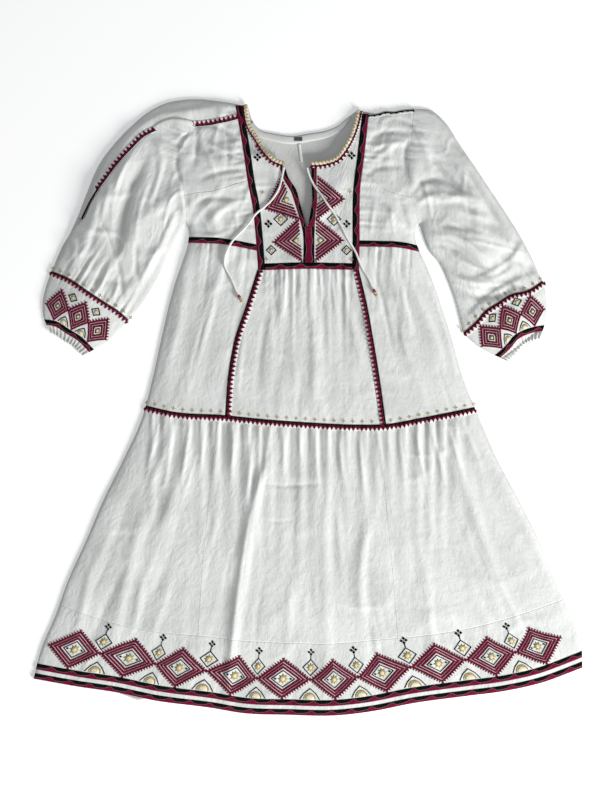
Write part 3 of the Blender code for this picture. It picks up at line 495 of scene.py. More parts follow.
def long_of(curve):
    return float(travelled(curve)[-1])


def along(curve, s, t):
    """The place s along a curve and t to the left of its way, for arrays of s and t."""
    way = travelled(curve)
    place = np.stack([np.interp(s, way, curve[:, k]) for k in (0, 1)], axis=-1)
    ahead = np.stack([np.interp(s + 2, way, curve[:, k]) for k in (0, 1)], axis=-1)
    behind = np.stack([np.interp(s - 2, way, curve[:, k]) for k in (0, 1)], axis=-1)
    run = ahead - behind
    run /= np.maximum(np.linalg.norm(run, axis=-1, keepdims=True), 1e-9)
    return place + np.asarray(t)[..., None] * np.stack([-run[..., 1], run[..., 0]], axis=-1)


print("lines:", len(LINES), "hem length:", round(long_of(line("hem"))), "mm")

# %% [markdown]
# ## The relief of the cloth
# Seen from above, the front of the dress is one relief: it puffs where the sleeves and skirt hold
# air, runs in long folds where the cloth is slack, and is gathered in small waves along the seams
# where more cloth is sewn into less. The big forms repeat the solids' own tables. The finer
# creases are placed one by one after the photograph, and faint ones are scattered with a fixed
# seed. A cloth simulation would put its folds where it likes, so the relief is drawn instead.

# %% The solids' folds and gathers
# where the cloth stands up from the surface: centre, reach each way, and rise
Puff = namedtuple("Puff", "x y reach_x reach_y rise")
PUFFS = [
    Puff(0, -150, 420, 420, 5.0),
    Puff(0, 420, 220, 130, 3.5),
    Puff(-165, 400, 60, 90, 3.0),
    Puff(150, 400, 55, 90, 3.0),
    Puff(-345, 350, 110, 130, 11.0),
    Puff(-430, 190, 60, 55, 6.0),
    Puff(310, 380, 100, 130, 11.0),
    Puff(392, 180, 60, 55, 6.0),
    Puff(-180, 552, 110, 20, 3.5),
]

# folds, each along a bent line from start over middle to end, with its half width on the
# left and the right of that way and the rise of its crest (negative for a trough)
Fold = namedtuple("Fold", "x0 y0 x1 y1 x2 y2 left right rise")
FOLDS = [
    # upper skirt
    Fold(-157, 300, -175, 215, -237, 3, 8, 12, 4.5),
    Fold(-231, 291, -242, 170, -290, 8, 10, 10, 2.5),
    Fold(-49, 246, -50, 200, -52, 149, 8, 8, 2.5),
    Fold(13, 169, 14, 90, 11, 10, 9, 9, 3.0),
    Fold(64, 210, 84, 150, 97, 78, 9, 9, 2.5),
    Fold(-15, 70, -10, 30, -12, -5, 14, 14, -2.0),
    Fold(138, 286, 170, 215, 189, 128, 9, 11, 3.5),
    Fold(180, 253, 222, 165, 252, 86, 8, 11, 3.5),
    Fold(209, 262, 245, 205, 273, 120, 8, 8, 2.5),
    # lower skirt
    Fold(-252, -22, -272, -90, -295, -147, 9, 12, 4.0),
    Fold(-77, -104, -117, -254, -152, -540, 13, 9, 6.0),
    Fold(-224, -76, -246, -150, -260, -237, 12, 12, 3.0),
    Fold(120, -200, 98, -300, 107, -397, 10, 10, 4.0),
    Fold(303, -33, 395, -190, 471, -360, 11, 14, 4.0),
    Fold(247, -42, 312, -200, 359, -372, 12, 12, 3.5),
    Fold(20, -120, 30, -280, 34, -500, 14, 14, 2.5),
    Fold(-300, -180, -335, -300, -372, -470, 12, 12, 3.0),
    Fold(-406, -300, -418, -360, -436, -430, 9, 9, 2.5),
    Fold(-310, -323, -318, -370, -330, -440, 8, 8, 2.0),
    Fold(352, -323, 372, -355, 402, -420, 9, 9, 2.5),
    Fold(200, -250, 224, -360, 240, -500, 11, 11, 3.0),
    # bodice
    Fold(-210, 512, -190, 470, -180, 430, 8, 8, 2.0),
    Fold(-150, 500, -160, 460, -150, 430, 9, 9, 1.5),
    Fold(160, 520, 150, 470, 158, 420, 8, 8, 2.0),
    Fold(-190, 390, -175, 360, -160, 330, 9, 9, 1.8),
    Fold(170, 385, 150, 350, 140, 325, 9, 9, 1.8),
    # left sleeve
    Fold(-301, 482, -345, 370, -358, 262, 12, 12, -4.5),
    Fold(-255, 388, -268, 315, -346, 200, 9, 9, 4.0),
    Fold(-234, 430, -238, 400, -232, 356, 7, 7, 2.5),
    Fold(-262, 500, -320, 400, -330, 280, 12, 12, 3.0),
    Fold(-370, 430, -410, 330, -430, 262, 12, 12, 3.5),
    Fold(-330, 240, -370, 235, -420, 250, 8, 8, -2.0),
    # right sleeve
    Fold(201, 540, 222, 480, 228, 430, 10, 10, 3.0),
    Fold(228, 343, 280, 320, 341, 255, 9, 9, 4.0),
    Fold(261, 291, 300, 290, 341, 232, 8, 8, -3.0),
    Fold(295, 330, 350, 320, 400, 270, 10, 10, 3.5),
    Fold(237, 430, 270, 400, 330, 380, 9, 9, 3.0),
    Fold(270, 480, 310, 410, 370, 330, 13, 13, 2.5),
    Fold(280, 250, 310, 220, 330, 205, 9, 9, 2.5),
]

# gathered seams: the chord's two ends, and the seam's bow to the left of that way
SEAMS = {
    "tier": (-310, -8, 314, -12, -30),
    "bust_left": (-226, 308, -96, 294, 3),
    "bib_bottom": (-93, 260, 95, 260, 0),
    "bust_right": (96, 301, 206, 294, 3),
    "bib_left": (-132, 545, -100, 320, -6),
    "bib_right": (112, 540, 97, 320, -4),
    "cuff_left": (-488, 262, -328, 158, 8),
    "cuff_right": (284, 138, 448, 246, 12),
    "cuff_end_left": (-500, 160, -404, 104, 8),
    "cuff_end_right": (350, 90, 450, 148, 14),
    "armhole_left": (-213, 536, -244, 450, -8),
    "armhole_right": (197, 556, 185, 450, 4),
}
# how many waves a seam has, their rise, and how far they reach to its left and its right
Gather = namedtuple("Gather", "seam count rise left right")
GATHERS = [
    Gather("tier", 23, 2.4, 5, 110),
    Gather("bust_left", 5, 1.7, 4, 70),
    Gather("bib_bottom", 9, 2.2, 4, 75),
    Gather("bust_right", 5, 1.7, 4, 70),
    Gather("bib_left", 9, 0.9, 3, 26),
    Gather("bib_right", 9, 0.9, 26, 3),
    Gather("cuff_left", 9, 1.6, 55, 6),
    Gather("cuff_right", 9, 1.6, 55, 6),
    Gather("cuff_end_left", 8, 1.1, 4, 12),
    Gather("cuff_end_right", 8, 1.1, 4, 12),
    Gather("armhole_left", 4, 1.2, 6, 40),
    Gather("armhole_right", 4, 1.2, 40, 6),
]

# %% Finer gathers and creases
# closer waves along the same seams, which the solids leave out
FINE_GATHERS = [
    Gather("tier", 57, 0.9, 2, 34),
    Gather("bust_left", 14, 0.8, 2, 24),
    Gather("bib_bottom", 23, 1.1, 2, 28),
    Gather("bust_right", 12, 0.8, 2, 24),
    Gather("cuff_left", 22, 1.0, 26, 3),
    Gather("cuff_right", 22, 1.0, 26, 3),
    Gather("cuff_end_left", 17, 0.7, 14, 9),
    Gather("cuff_end_right", 17, 0.7, 14, 9),
    Gather("armhole_left", 11, 0.6, 3, 16),
    Gather("armhole_right", 11, 0.6, 16, 3),
    Gather("bib_left", 19, 0.95, 2, 22),
    Gather("bib_right", 18, 0.95, 22, 2),
]

CREASE_RISE = 1.7
STEEPEST = 0.62  # a crease rises at most this share of its half width
# creases read off the picture, in its pixels; half widths and rise in millimetres
CREASES = [
    # under the bib and the bands under the bust
    Fold(277, 270, 277, 285, 276, 300, 3, 3, 1.5), Fold(286, 270, 285, 290, 283, 315, 3, 3, 1.5),
    Fold(297, 270, 297, 282, 296, 296, 3, 3, -1.2), Fold(309, 270, 309, 292, 310, 318, 4, 3, 1.6),
    Fold(320, 270, 321, 285, 322, 300, 3, 3, 1.2), Fold(331, 270, 333, 290, 336, 312, 3, 4, 1.5),
    Fold(342, 270, 345, 288, 349, 306, 3, 3, 1.2), Fold(214, 290, 201, 335, 190, 380, 5, 5, -1.6),
    Fold(372, 262, 385, 310, 392, 350, 4, 4, -1.2), Fold(395, 252, 402, 290, 412, 330, 4, 4, 1.0),
    Fold(430, 290, 445, 330, 455, 370, 4, 4, 1.2), Fold(360, 300, 370, 340, 378, 390, 4, 5, 0.9),
    Fold(270, 300, 262, 345, 258, 390, 6, 6, -1.0), Fold(245, 330, 240, 365, 238, 400, 5, 6, 1.0),
    # from the tier seam down
    Fold(160, 420, 152, 450, 146, 480, 4, 5, 1.5), Fold(175, 420, 170, 450, 164, 490, 4, 5, 1.2),
    Fold(190, 421, 186, 450, 181, 485, 4, 4, 1.4), Fold(205, 422, 203, 445, 200, 470, 3, 4, 1.2),
    Fold(219, 424, 217, 450, 213, 480, 3, 4, 1.3), Fold(234, 426, 233, 450, 231, 480, 4, 4, 1.6),
    Fold(253, 428, 251, 460, 246, 500, 5, 4, 1.8), Fold(267, 430, 266, 455, 262, 490, 4, 4, 1.3),
    Fold(284, 431, 284, 450, 283, 475, 4, 4, 1.4), Fold(300, 432, 300, 446, 301, 462, 3, 3, 1.1),
    Fold(316, 433, 317, 460, 319, 500, 4, 5, 1.6), Fold(338, 434, 340, 455, 343, 480, 4, 4, 1.3),
    Fold(358, 434, 361, 460, 364, 495, 4, 4, 1.5), Fold(378, 433, 381, 455, 385, 482, 4, 4, 1.2),
    Fold(398, 430, 401, 455, 405, 480, 4, 4, 1.3), Fold(415, 428, 420, 455, 426, 490, 4, 4, 1.5),
    Fold(430, 425, 438, 455, 446, 490, 4, 4, 1.3), Fold(446, 422, 455, 450, 466, 485, 4, 4, 1.4),
    Fold(460, 418, 470, 440, 482, 470, 4, 4, 1.1), Fold(261, 484, 290, 486, 322, 483, 2.5, 2.5, -0.8),
    Fold(267, 521, 280, 522, 293, 520, 2, 2, -0.7), Fold(266, 463, 245, 543, 224, 712, 8, 2.6, 1.0),
    Fold(253, 500, 246, 550, 238, 610, 4, 7, -1.4),
    # left sleeve
    Fold(180, 193, 183, 204, 182, 217, 2.5, 2.5, 1.2), Fold(186, 195, 188, 206, 186, 216, 2.5, 2.5, -1.0),
    Fold(192, 131, 185, 142, 178, 155, 3, 3, 1.5), Fold(66, 276, 75, 262, 88, 245, 3, 3, 1.2),
    Fold(80, 284, 88, 268, 100, 250, 3, 3, 1.2), Fold(97, 297, 104, 280, 112, 262, 3, 3, 1.1),
    Fold(112, 306, 116, 290, 121, 272, 3, 3, 1.2), Fold(96, 215, 108, 235, 114, 258, 3, 3, -1.0),
    Fold(110, 180, 104, 210, 95, 240, 5, 5, 1.3), Fold(150, 180, 140, 210, 136, 240, 4, 4, 1.2),
    Fold(128, 160, 118, 185, 112, 215, 4, 4, 1.0), Fold(168, 160, 160, 185, 152, 215, 4, 5, -0.9),
    # right sleeve
    Fold(413, 124, 419, 138, 427, 150, 3, 3, 1.4), Fold(428, 186, 436, 193, 443, 203, 2.5, 2.5, -1.0),
    Fold(447, 252, 468, 264, 490, 272, 3.5, 3.5, 1.6), Fold(466, 240, 495, 246, 525, 254, 3.5, 3.5, 1.4),
    Fold(430, 224, 460, 250, 490, 271, 4, 4, -1.2), Fold(441, 268, 470, 282, 508, 283, 7, 4, 2.6),
    Fold(512, 287, 486, 297, 452, 286, 7, 7, -2.9), Fold(455, 160, 470, 190, 490, 215, 5, 5, 1.2),
    Fold(440, 140, 455, 165, 470, 180, 4, 4, 1.0), Fold(480, 200, 505, 235, 525, 262, 5, 5, 1.5),
    Fold(420, 170, 428, 200, 432, 225, 4, 4, 1.2), Fold(437, 205, 452, 222, 474, 232, 3, 4, 1.0),
    # bodice
    Fold(205, 150, 212, 165, 216, 185, 4, 4, 1.0), Fold(225, 130, 228, 150, 226, 172, 3, 3, -0.8),
    Fold(200, 215, 206, 225, 212, 235, 3, 3, 1.0), Fold(235, 205, 236, 220, 240, 236, 3, 3, 1.1),
    Fold(375, 200, 372, 220, 370, 238, 3, 3, 1.0), Fold(390, 205, 392, 222, 395, 240, 3, 3, 1.1),
    Fold(190, 129, 213, 126, 238, 140, 5, 5, -2.2), Fold(195, 123, 197, 145, 193, 168, 5, 5, -2.0),
    Fold(218, 128, 230, 143, 245, 151, 3.5, 3.5, 1.3), Fold(222, 150, 231, 156, 247, 160, 3, 3, -1.0),
    Fold(205, 143, 225, 152, 246, 172, 6, 5, 2.2), Fold(200, 180, 222, 172, 246, 170, 6, 5, -2.1),
    Fold(208, 226, 222, 210, 243, 200, 8, 7, 2.3), Fold(195, 205, 215, 198, 232, 201, 6, 6, -2.0),
    Fold(371, 140, 387, 132, 410, 135, 6, 6, -2.3), Fold(370, 152, 385, 144, 409, 144, 6, 5, 2.2),
    Fold(368, 165, 386, 150, 398, 142, 4, 6, 1.5), Fold(366, 178, 380, 168, 405, 168, 5, 5, -1.3),
    Fold(411, 140, 405, 154, 408, 180, 5, 5, -2.4), Fold(380, 205, 392, 215, 404, 230, 7, 7, 2.0),
    Fold(398, 196, 404, 212, 409, 232, 5, 5, -1.3),
    # deep folds of the left sleeve
    Fold(151, 155, 135, 185, 120, 236, 13, 9, -3.2), Fold(180, 150, 177, 168, 186, 192, 5, 5, -2.0),
    Fold(196, 131, 184, 137, 176, 147, 4, 4, -1.6), Fold(185, 192, 170, 202, 163, 238, 4, 3.5, 1.6),
    Fold(163, 238, 150, 265, 130, 298, 4, 3.5, 1.6), Fold(178, 205, 166, 225, 158, 250, 3.5, 3.5, -1.4),
    Fold(140, 146, 120, 175, 104, 215, 8, 8, 1.8), Fold(150, 140, 160, 150, 158, 170, 6, 6, 1.5),
    Fold(165, 150, 160, 175, 150, 205, 8, 6, 2.0), Fold(100, 205, 98, 230, 80, 262, 7, 7, -1.7),
    Fold(66, 235, 75, 245, 70, 268, 6, 6, 1.5), Fold(123, 302, 121, 280, 117, 258, 4, 5, -1.8),
    Fold(94, 288, 101, 271, 112, 255, 4, 4, -1.6), Fold(140, 285, 136, 262, 139, 240, 5, 5, -1.5),
    Fold(116, 160, 136, 130, 168, 112, 5, 12, 3.6), Fold(160, 114, 190, 110, 224, 104, 4, 10, 3.0),
    Fold(105, 160, 92, 190, 84, 218, 6, 6, -1.5),
    # deep folds of the right sleeve
    Fold(396, 119, 413, 126, 428, 141, 5, 5, -1.9), Fold(447, 140, 458, 147, 470, 160, 7, 6, -1.7),
    Fold(428, 155, 444, 172, 466, 201, 7, 6, -2.2), Fold(413, 193, 430, 180, 456, 187, 7, 5, -2.4),
    Fold(417, 206, 432, 196, 452, 198, 6, 6, 1.8), Fold(432, 226, 465, 229, 495, 237, 7, 5, -2.6),
    Fold(430, 236, 466, 243, 501, 277, 6, 5, 2.0), Fold(434, 245, 458, 252, 484, 276, 4, 4, -1.7),
    Fold(450, 205, 470, 215, 492, 218, 7, 7, 1.8), Fold(470, 180, 488, 205, 500, 232, 8, 8, -1.8),
    Fold(455, 130, 475, 160, 490, 190, 9, 9, 1.8), Fold(442, 247, 455, 262, 470, 272, 3.5, 3.5, 1.4),
    Fold(506, 277, 516, 286, 529, 290, 8, 6, -3.0), Fold(500, 255, 520, 262, 535, 275, 8, 8, -1.9),
    Fold(505, 240, 520, 250, 532, 262, 7, 7, 1.7), Fold(512, 262, 520, 246, 534, 236, 5, 9, 1.8),
    Fold(446, 140, 478, 186, 503, 228, 6, 7, -2.3), Fold(462, 150, 492, 194, 520, 240, 6, 9, 2.2),
    Fold(440, 284, 448, 300, 456, 318, 6, 8, -2.4), Fold(464, 316, 496, 287, 541, 268, 14, 6, -2.3),
    Fold(470, 276, 500, 262, 522, 240, 14, 6, -2.0), Fold(486, 276, 500, 272, 512, 262, 10, 5, -1.8),
]


def seen_at(px, py):
    """The place on the floor, in millimetres, under one pixel of the picture."""
    return (px - MIDDLE[0]) * PIXEL, (MIDDLE[1] - py) * PIXEL


def on_floor(fold):
    ends = [k for p in zip(fold[0:6:2], fold[1:6:2]) for k in seen_at(*p)]
    steepest = STEEPEST * min(fold.left, fold.right)
    rise = max(-steepest, min(steepest, fold.rise * CREASE_RISE))
    return Fold(*ends, fold.left, fold.right, rise)


# %% [markdown]
# ### Adding it all up
# The relief is worked out once, on a map with a value every two millimetres, and every piece reads
# its height from that map. So a ribbon, a stitch or a tie follows exactly the cloth under it.

# %% One fold and one seam's gathers
def add_fold(total, fold, xy):
    """Adds a crest or trough along a bent line, fading at its ends, to the heights nearby."""
    ends = np.array([[fold.x0, fold.y0], [fold.x1, fold.y1], [fold.x2, fold.y2]], float)
    reach = 2.7 * max(fold.left, fold.right)
    low, high = ends.min(axis=0) - reach, ends.max(axis=0) + reach
    near = np.nonzero(np.all((xy > low) & (xy < high), axis=1))[0]
    place = xy[near]
    t = np.linspace(0, 1, 17)[:, None]
    bend = 2 * ends[1] - (ends[0] + ends[2]) / 2
    spine = (1 - t) ** 2 * ends[0] + 2 * t * (1 - t) * bend + t**2 * ends[2]
    start, way = spine[:-1], np.diff(spine, axis=0)
    off = place[:, None] - start
    s = np.clip(np.sum(off * way, axis=2) / np.sum(way**2, axis=1), 0, 1)
    apart = off - s[..., None] * way
    gap = np.linalg.norm(apart, axis=2)
    k = gap.argmin(axis=1)
    row = np.arange(len(place))
    side = way[k, 0] * apart[row, k, 1] - way[k, 1] * apart[row, k, 0]
    half = np.where(side > 0, fold.left, fold.right)
    run = (k + s[row, k]) / len(way)
    fade = np.sin(math.pi * np.clip(run, 0.02, 0.98)) ** 0.6
    total[near] += fold.rise * fade * np.exp(-((gap[row, k] / half) ** 2))


def gather_rise(gather, xy):
    """Uneven waves along a seam that die away on both sides of it."""
    x0, y0, x1, y1, bow = SEAMS[gather.seam]
    start = np.array([x0, y0], float)
    way = np.array([x1, y1], float) - start
    length = np.linalg.norm(way)
    way /= length
    off = xy - start
    s = off @ way / length
    t = off @ np.array([-way[1], way[0]]) - 4 * bow * s * (1 - s)
    uneven = 0.22 * np.sin(TURN * 2.3 * s + 1) + 0.13 * np.sin(TURN * 5.7 * s)
    strength = 0.75 + 0.25 * np.sin(TURN * 3.4 * s + 2)
    wave = strength * np.cos(TURN * (gather.count * s + uneven))
    ends = np.clip(np.minimum(s, 1 - s) * gather.count, 0, 1)
    reach = np.where(t > 0, gather.left, gather.right)
    return gather.rise * ends * wave * np.exp(-abs(t) / reach)


# %% Distance to the outline
MAP_STEP = 2.0
map_x = np.arange(-528.0, 528.1, MAP_STEP)
map_y = np.arange(-592.0, 592.1, MAP_STEP)
map_xy = np.stack(np.meshgrid(map_x, map_y), axis=-1).reshape(-1, 2)


def rim_distances(xy):
    """How far each point lies from the outline of the front."""
    rim = np.vstack([line(n)[::-1] if back else line(n) for n, back in OUTLINE])[::3]
    rim = np.vstack([rim, rim[:1]])
    start, way = rim[:-1], np.diff(rim, axis=0)
    size = np.maximum(np.sum(way**2, axis=1), 1e-9)
    nearest = []
    for part in np.array_split(xy, 40):
        off = part[:, None] - start
        t = np.clip(np.sum(off * way, axis=2) / size, 0, 1)
        nearest.append(np.sqrt(np.sum((off - t[..., None] * way) ** 2, axis=2).min(axis=1)))
    return np.concatenate(nearest)


rim_map = rim_distances(map_xy)
print("map points:", len(map_xy))


# %% Faint folds and crumple
def faint_folds(count=210, seed=7):
    """Shallow folds that run down the skirt, spread with a fixed seed."""
    chance = np.random.default_rng(seed)
    for _ in range(count):
        x, y = chance.uniform(-0.95, 0.95), chance.uniform(-520, 220)
        x *= 250 + (250 - y) * 0.33
        length = chance.uniform(60, 170)
        flare = 0.42 * x / 300
        bend = chance.uniform(-7, 7)
        rise = chance.uniform(0.35, 1.15) * chance.choice([-1, 1])
        width = chance.uniform(4, 12)
        yield Fold(x, y, x + flare * length / 2 + bend, y - length / 2, x + flare * length, y - length,
                   width, width * chance.uniform(0.5, 1.6), rise)


def soft_noise(xy, wave, chance):
    """Random values between -1 and 1 that change smoothly, over that many millimetres."""
    table = chance.uniform(-1, 1, (64, 64))
    at = xy / wave + 32
    cell = np.floor(at).astype(int)
    t = at - cell
    t = t * t * (3 - 2 * t)
    i, j = cell[:, 0] % 64, cell[:, 1] % 64
    low = table[i, j] * (1 - t[:, 0]) + table[(i + 1) % 64, j] * t[:, 0]
    high = table[i, (j + 1) % 64] * (1 - t[:, 0]) + table[(i + 1) % 64, (j + 1) % 64] * t[:, 0]
    return low * (1 - t[:, 1]) + high * t[:, 1]


def crumple(xy, seed=3):
    """Soft creases all over, as thin cotton keeps after washing: thin crests with flats between."""
    chance = np.random.default_rng(seed)
    total = np.zeros(len(xy))
    for wave, rise, thin in ((84, 2.2, 0.26), (52, 1.5, 0.24), (31, 0.8, 0.28), (19, 0.4, 0.35)):
        bent = np.stack([soft_noise(xy, wave * 1.3, chance), soft_noise(xy, wave * 1.3, chance)], axis=1)
        value = soft_noise(xy + bent * wave * 0.45, wave, chance)
        patchy = np.clip(soft_noise(xy, wave * 2.2, chance) * 1.4 + 0.6, 0, 1)
        total += rise * patchy * np.exp(-((value / thin) ** 2))
    loose_top = 1 / (1 + np.exp(-(xy[:, 1] - 255) / 14))
    return total * (0.40 + 1.15 * loose_top)


# %% The map of heights
LOW = 3.3  # the front's upper face at the outline
EDGE_REACH = 17.0  # the puff comes up from the outline over this distance
puff = sum(
    p.rise * np.exp(-(((map_xy[:, 0] - p.x) / p.reach_x) ** 2) - ((map_xy[:, 1] - p.y) / p.reach_y) ** 2)
    for p in PUFFS
)
relief = sum(gather_rise(g, map_xy) for g in GATHERS + FINE_GATHERS) + crumple(map_xy)
for fold in [*FOLDS, *(on_floor(crease) for crease in CREASES), *faint_folds()]:
    add_fold(relief, fold, map_xy)
up = 1 - np.exp(-rim_map / EDGE_REACH)
height_map = np.maximum(LOW + up * (2.5 + puff) + np.sqrt(up) * relief, LOW)
height_map = height_map.reshape(len(map_y), len(map_x))


def blurred(field, reach):
    """Each value's average over a square of that many map steps each way, taken twice."""
    for axis in (0, 1, 0, 1):
        margin = [(reach + 1, reach) if k == axis else (0, 0) for k in (0, 1)]
        sums = np.cumsum(np.pad(field, margin, "edge"), axis)
        count = field.shape[axis]
        late, early = np.arange(count) + 2 * reach + 1, np.arange(count)
        field = (np.take(sums, late, axis) - np.take(sums, early, axis)) / (2 * reach + 1)
    return field


# The map of painted shade: how far the cloth lies below the cloth around it, which the cotton's colour turns
# into painted shade at the bottom of folds.
PAINTED_SHADE_REACH = 7  # map steps over which a place is compared with the cloth around it
FULL_PAINTED_SHADE_DEPTH = 2.2  # millimetres below that cloth at which the painted shade is full
painted_shade_map = np.clip((blurred(height_map, PAINTED_SHADE_REACH) - height_map) / FULL_PAINTED_SHADE_DEPTH, -1, 1)
rim_map = rim_map.reshape(len(map_y), len(map_x))
print("cloth heights:", round(height_map.min(), 1), "to", round(height_map.max(), 1), "mm")


# %% Reading the maps
def read(field, xy):
    """A map's value at any places, on smooth curves through its points."""
    xy = np.asarray(xy, float)
    x = np.clip((xy[..., 0] - map_x[0]) / MAP_STEP, 1, len(map_x) - 3)
    y = np.clip((xy[..., 1] - map_y[0]) / MAP_STEP, 1, len(map_y) - 3)
    i, j = x.astype(int), y.astype(int)

    def weights(t):
        return (
            ((2 - t) * t - 1) * t / 2, ((3 * t - 5) * t * t + 2) / 2,
            ((4 - 3 * t) * t + 1) * t / 2, (t - 1) * t * t / 2,
        )

    total = 0
    for a, down in enumerate(weights(y - j)):
        for b, over in enumerate(weights(x - i)):
            total = total + down * over * field[j + a - 1, i + b - 1]
    return total


SIDE_TURN = 4.0  # the cloth rounds over to the back within this distance of the outline
FRONT_BASE = 2.1  # how high the front's upper face ends at the outline


def rounding(xy, reach=SIDE_TURN):
    """0 at the outline, 1 inside, along a quarter circle."""
    d = np.clip(read(rim_map, xy), 0, reach) / reach
    return np.sqrt(1 - (1 - d) ** 2)


def skin(xy, base=FRONT_BASE):
    """Height of the front's upper face, rounded down to a base at the outline."""
    return base + (read(height_map, xy) - base) * rounding(xy)


def facing_up(xy):
    """The direction that stands square on the cloth at each place."""
    xy = np.asarray(xy, float)
    dx, dy = np.array([1.5, 0.0]), np.array([0.0, 1.5])
    slope_x = (skin(xy + dx) - skin(xy - dx)) / 3
    slope_y = (skin(xy + dy) - skin(xy - dy)) / 3
    up = np.stack([-slope_x, -slope_y, np.ones_like(slope_x)], axis=-1)
    return up / np.linalg.norm(up, axis=-1, keepdims=True)


# %% [markdown]
# ## Cloth panels
# Real cloth has two faces and an edge, so a panel is a closed thin shell: the drawn grid on top,
# the same grid a little lower, and a rim between them. Where front and back are one cut that goes
# all round, as on a sleeve, the panel is a flattened tube: one loop of points for each row, with
# an outer and an inner skin. The UV map is in metres, so that threads have their true size.

# %% A new piece of the dress
CLOTH = 0.8  # thickness of the cotton as it shows
SEAM_DIP = 0.35  # a seam pulls the cloth down by this
GRID = 3.1  # from one point of a front panel to the next
BACK_TOP = 1.6  # all of the back's cloth lies below this, and gets no painted shade
pieces = {}


def piece_of(name, places, faces, uv, finish, slot, nodes=()):
    """A mesh at places in millimetres, with its UV map in metres, that rides on the dress."""
    mesh = bpy.data.meshes.new(name)
    places = np.asarray(places, float)
    mesh.from_pydata((places * MM).tolist(), [], faces)
    layer = mesh.uv_layers.new(name="cloth")
    corners = np.zeros(len(mesh.loops), int)
    mesh.loops.foreach_get("vertex_index", corners)
    layer.data.foreach_set("uv", np.asarray(uv, np.float32)[corners].ravel())
    mesh.polygons.foreach_set("use_smooth", [True] * len(mesh.polygons))
    mesh.materials.append(finish)
    # Each point keeps the painted shade of the map under it, as an attribute that darkens the cotton's
    # colour; the back gets none.
    painted_shade = read(painted_shade_map, places[:, :2]) * (places[:, 2] > BACK_TOP)
    mesh.attributes.new("painted_shade", "FLOAT", "POINT").data.foreach_set("value", painted_shade.astype(np.float32))
    return adopt(name, mesh, slot, nodes)


def adopt(name, mesh, slot, nodes=()):
    """The mesh as an object that rides on the dress and stands for CAD nodes."""
    piece = bpy.data.objects.new(name, mesh)
    bpy.context.scene.collection.objects.link(piece)
    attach(piece, BODY)
    if nodes:
        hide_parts(*nodes)
    pieces[name] = piece
    mesh.calc_loop_triangles()
    print(f"{name}: {len(mesh.loop_triangles)} triangles")
    return piece


# %% Shares of a width, closer at its edges
def shares(length, step):
    """Shares from 0 to 1 about a step apart, with two more near each edge."""
    inner = np.linspace(0, 1, ruler(length, step) + 1)
    edge = np.array([0.8, 2.0]) / length
    inner = inner[(inner > 3.2 / length) & (inner < 1 - 3.2 / length)]
    return np.concatenate([[0], edge, inner, (1 - edge)[::-1], [1]])


def grid_of(sides, step=GRID):
    """A patch's points about a step apart, closer at its edges."""
    fifths = np.linspace(0, 1, 6)
    rough = patch(*sides, fifths, fifths)
    width = np.linalg.norm(np.diff(rough, axis=1), axis=2).sum(axis=1).max()
    depth = np.linalg.norm(np.diff(rough, axis=0), axis=2).sum(axis=0).max()
    return patch(*sides, shares(width, step), shares(depth, step))


def cloth_map(grid):
    """Each grid point's UV: how far it lies along its row and down its column, in metres."""
    rows, columns = grid.shape[:2]
    across = np.linalg.norm(np.diff(grid, axis=1), axis=2).mean(axis=0)
    down = np.linalg.norm(np.diff(grid, axis=0), axis=2).mean(axis=1)
    u = np.r_[0, np.cumsum(across)] * MM
    v = -np.r_[0, np.cumsum(down)] * MM
    return np.stack(np.broadcast_arrays(u[None, :], v[:, None]), axis=-1).reshape(rows * columns, 2)


def mirrored(grid):
    """True where the grid's columns and rows turn the other way round."""
    right = grid[0, -1] - grid[0, 0]
    down = grid[-1, 0] - grid[0, 0]
    return right[0] * down[1] - right[1] * down[0] > 0


# %% Shell of one panel
def shell_faces(rows, columns):
    """Faces of a closed shell over a grid of points: upper face, lower face and rim."""
    count = rows * columns
    i, j = np.meshgrid(np.arange(rows - 1), np.arange(columns - 1), indexing="ij")
    a = (i * columns + j).ravel()
    upper = np.stack([a, a + columns, a + columns + 1, a + 1], axis=1)
    rim = list(range(0, count, columns))
    rim += list(range(count - columns + 1, count))
    rim += list(range(count - columns - 1, 0, -columns))
    rim += list(range(columns - 2, 0, -1))
    rim = np.array(rim)
    after = np.roll(rim, -1)
    wall = np.stack([rim, rim + count, after + count, after], axis=1)
    return np.vstack([upper, upper[:, ::-1] + count, wall])


def shell_of(grid, top, thick, uv=None):
    """Places, faces and UV map of a closed thin shell under the heights in top."""
    rows, columns = grid.shape[:2]
    outer = np.dstack([grid, top]).reshape(-1, 3)
    inner = outer.copy()
    inner[:, 2] -= np.ravel(thick)
    faces = shell_faces(rows, columns)
    if mirrored(grid):
        faces = faces[:, ::-1]
    uv = cloth_map(grid) if uv is None else uv
    return np.vstack([outer, inner]), faces, np.vstack([uv, uv])


def shell(name, grid, top, thick, finish, slot, nodes=(), uv=None):
    """One closed thin shell as a piece of its own."""
    places, faces, uv = shell_of(grid, top, thick, uv)
    return piece_of(name, places, faces.tolist(), uv, finish, slot, nodes)


def joined(name, shells, finish, slot, nodes):
    """Several closed shells as one piece."""
    faces, start = [], 0
    for places, part, _ in shells:
        part = part.tolist() if isinstance(part, np.ndarray) else part
        faces += [[v + start for v in face] for face in part]
        start += len(places)
    places = np.vstack([part[0] for part in shells])
    uv = np.vstack([part[2] for part in shells])
    return piece_of(name, places, faces, uv, finish, slot, nodes)


def dipped(top):
    """The heights with the outermost points pulled down, as a seam does."""
    top = top.copy()
    for edge in (np.s_[0], np.s_[-1], np.s_[:, 0], np.s_[:, -1]):
        top[edge] -= SEAM_DIP
    return top


def front_shell(sides, step=GRID):
    """The shell of a front panel between its top, right, bottom and left lines."""
    grid = grid_of(sides, step)
    return shell_of(grid, dipped(skin(grid)), CLOTH)


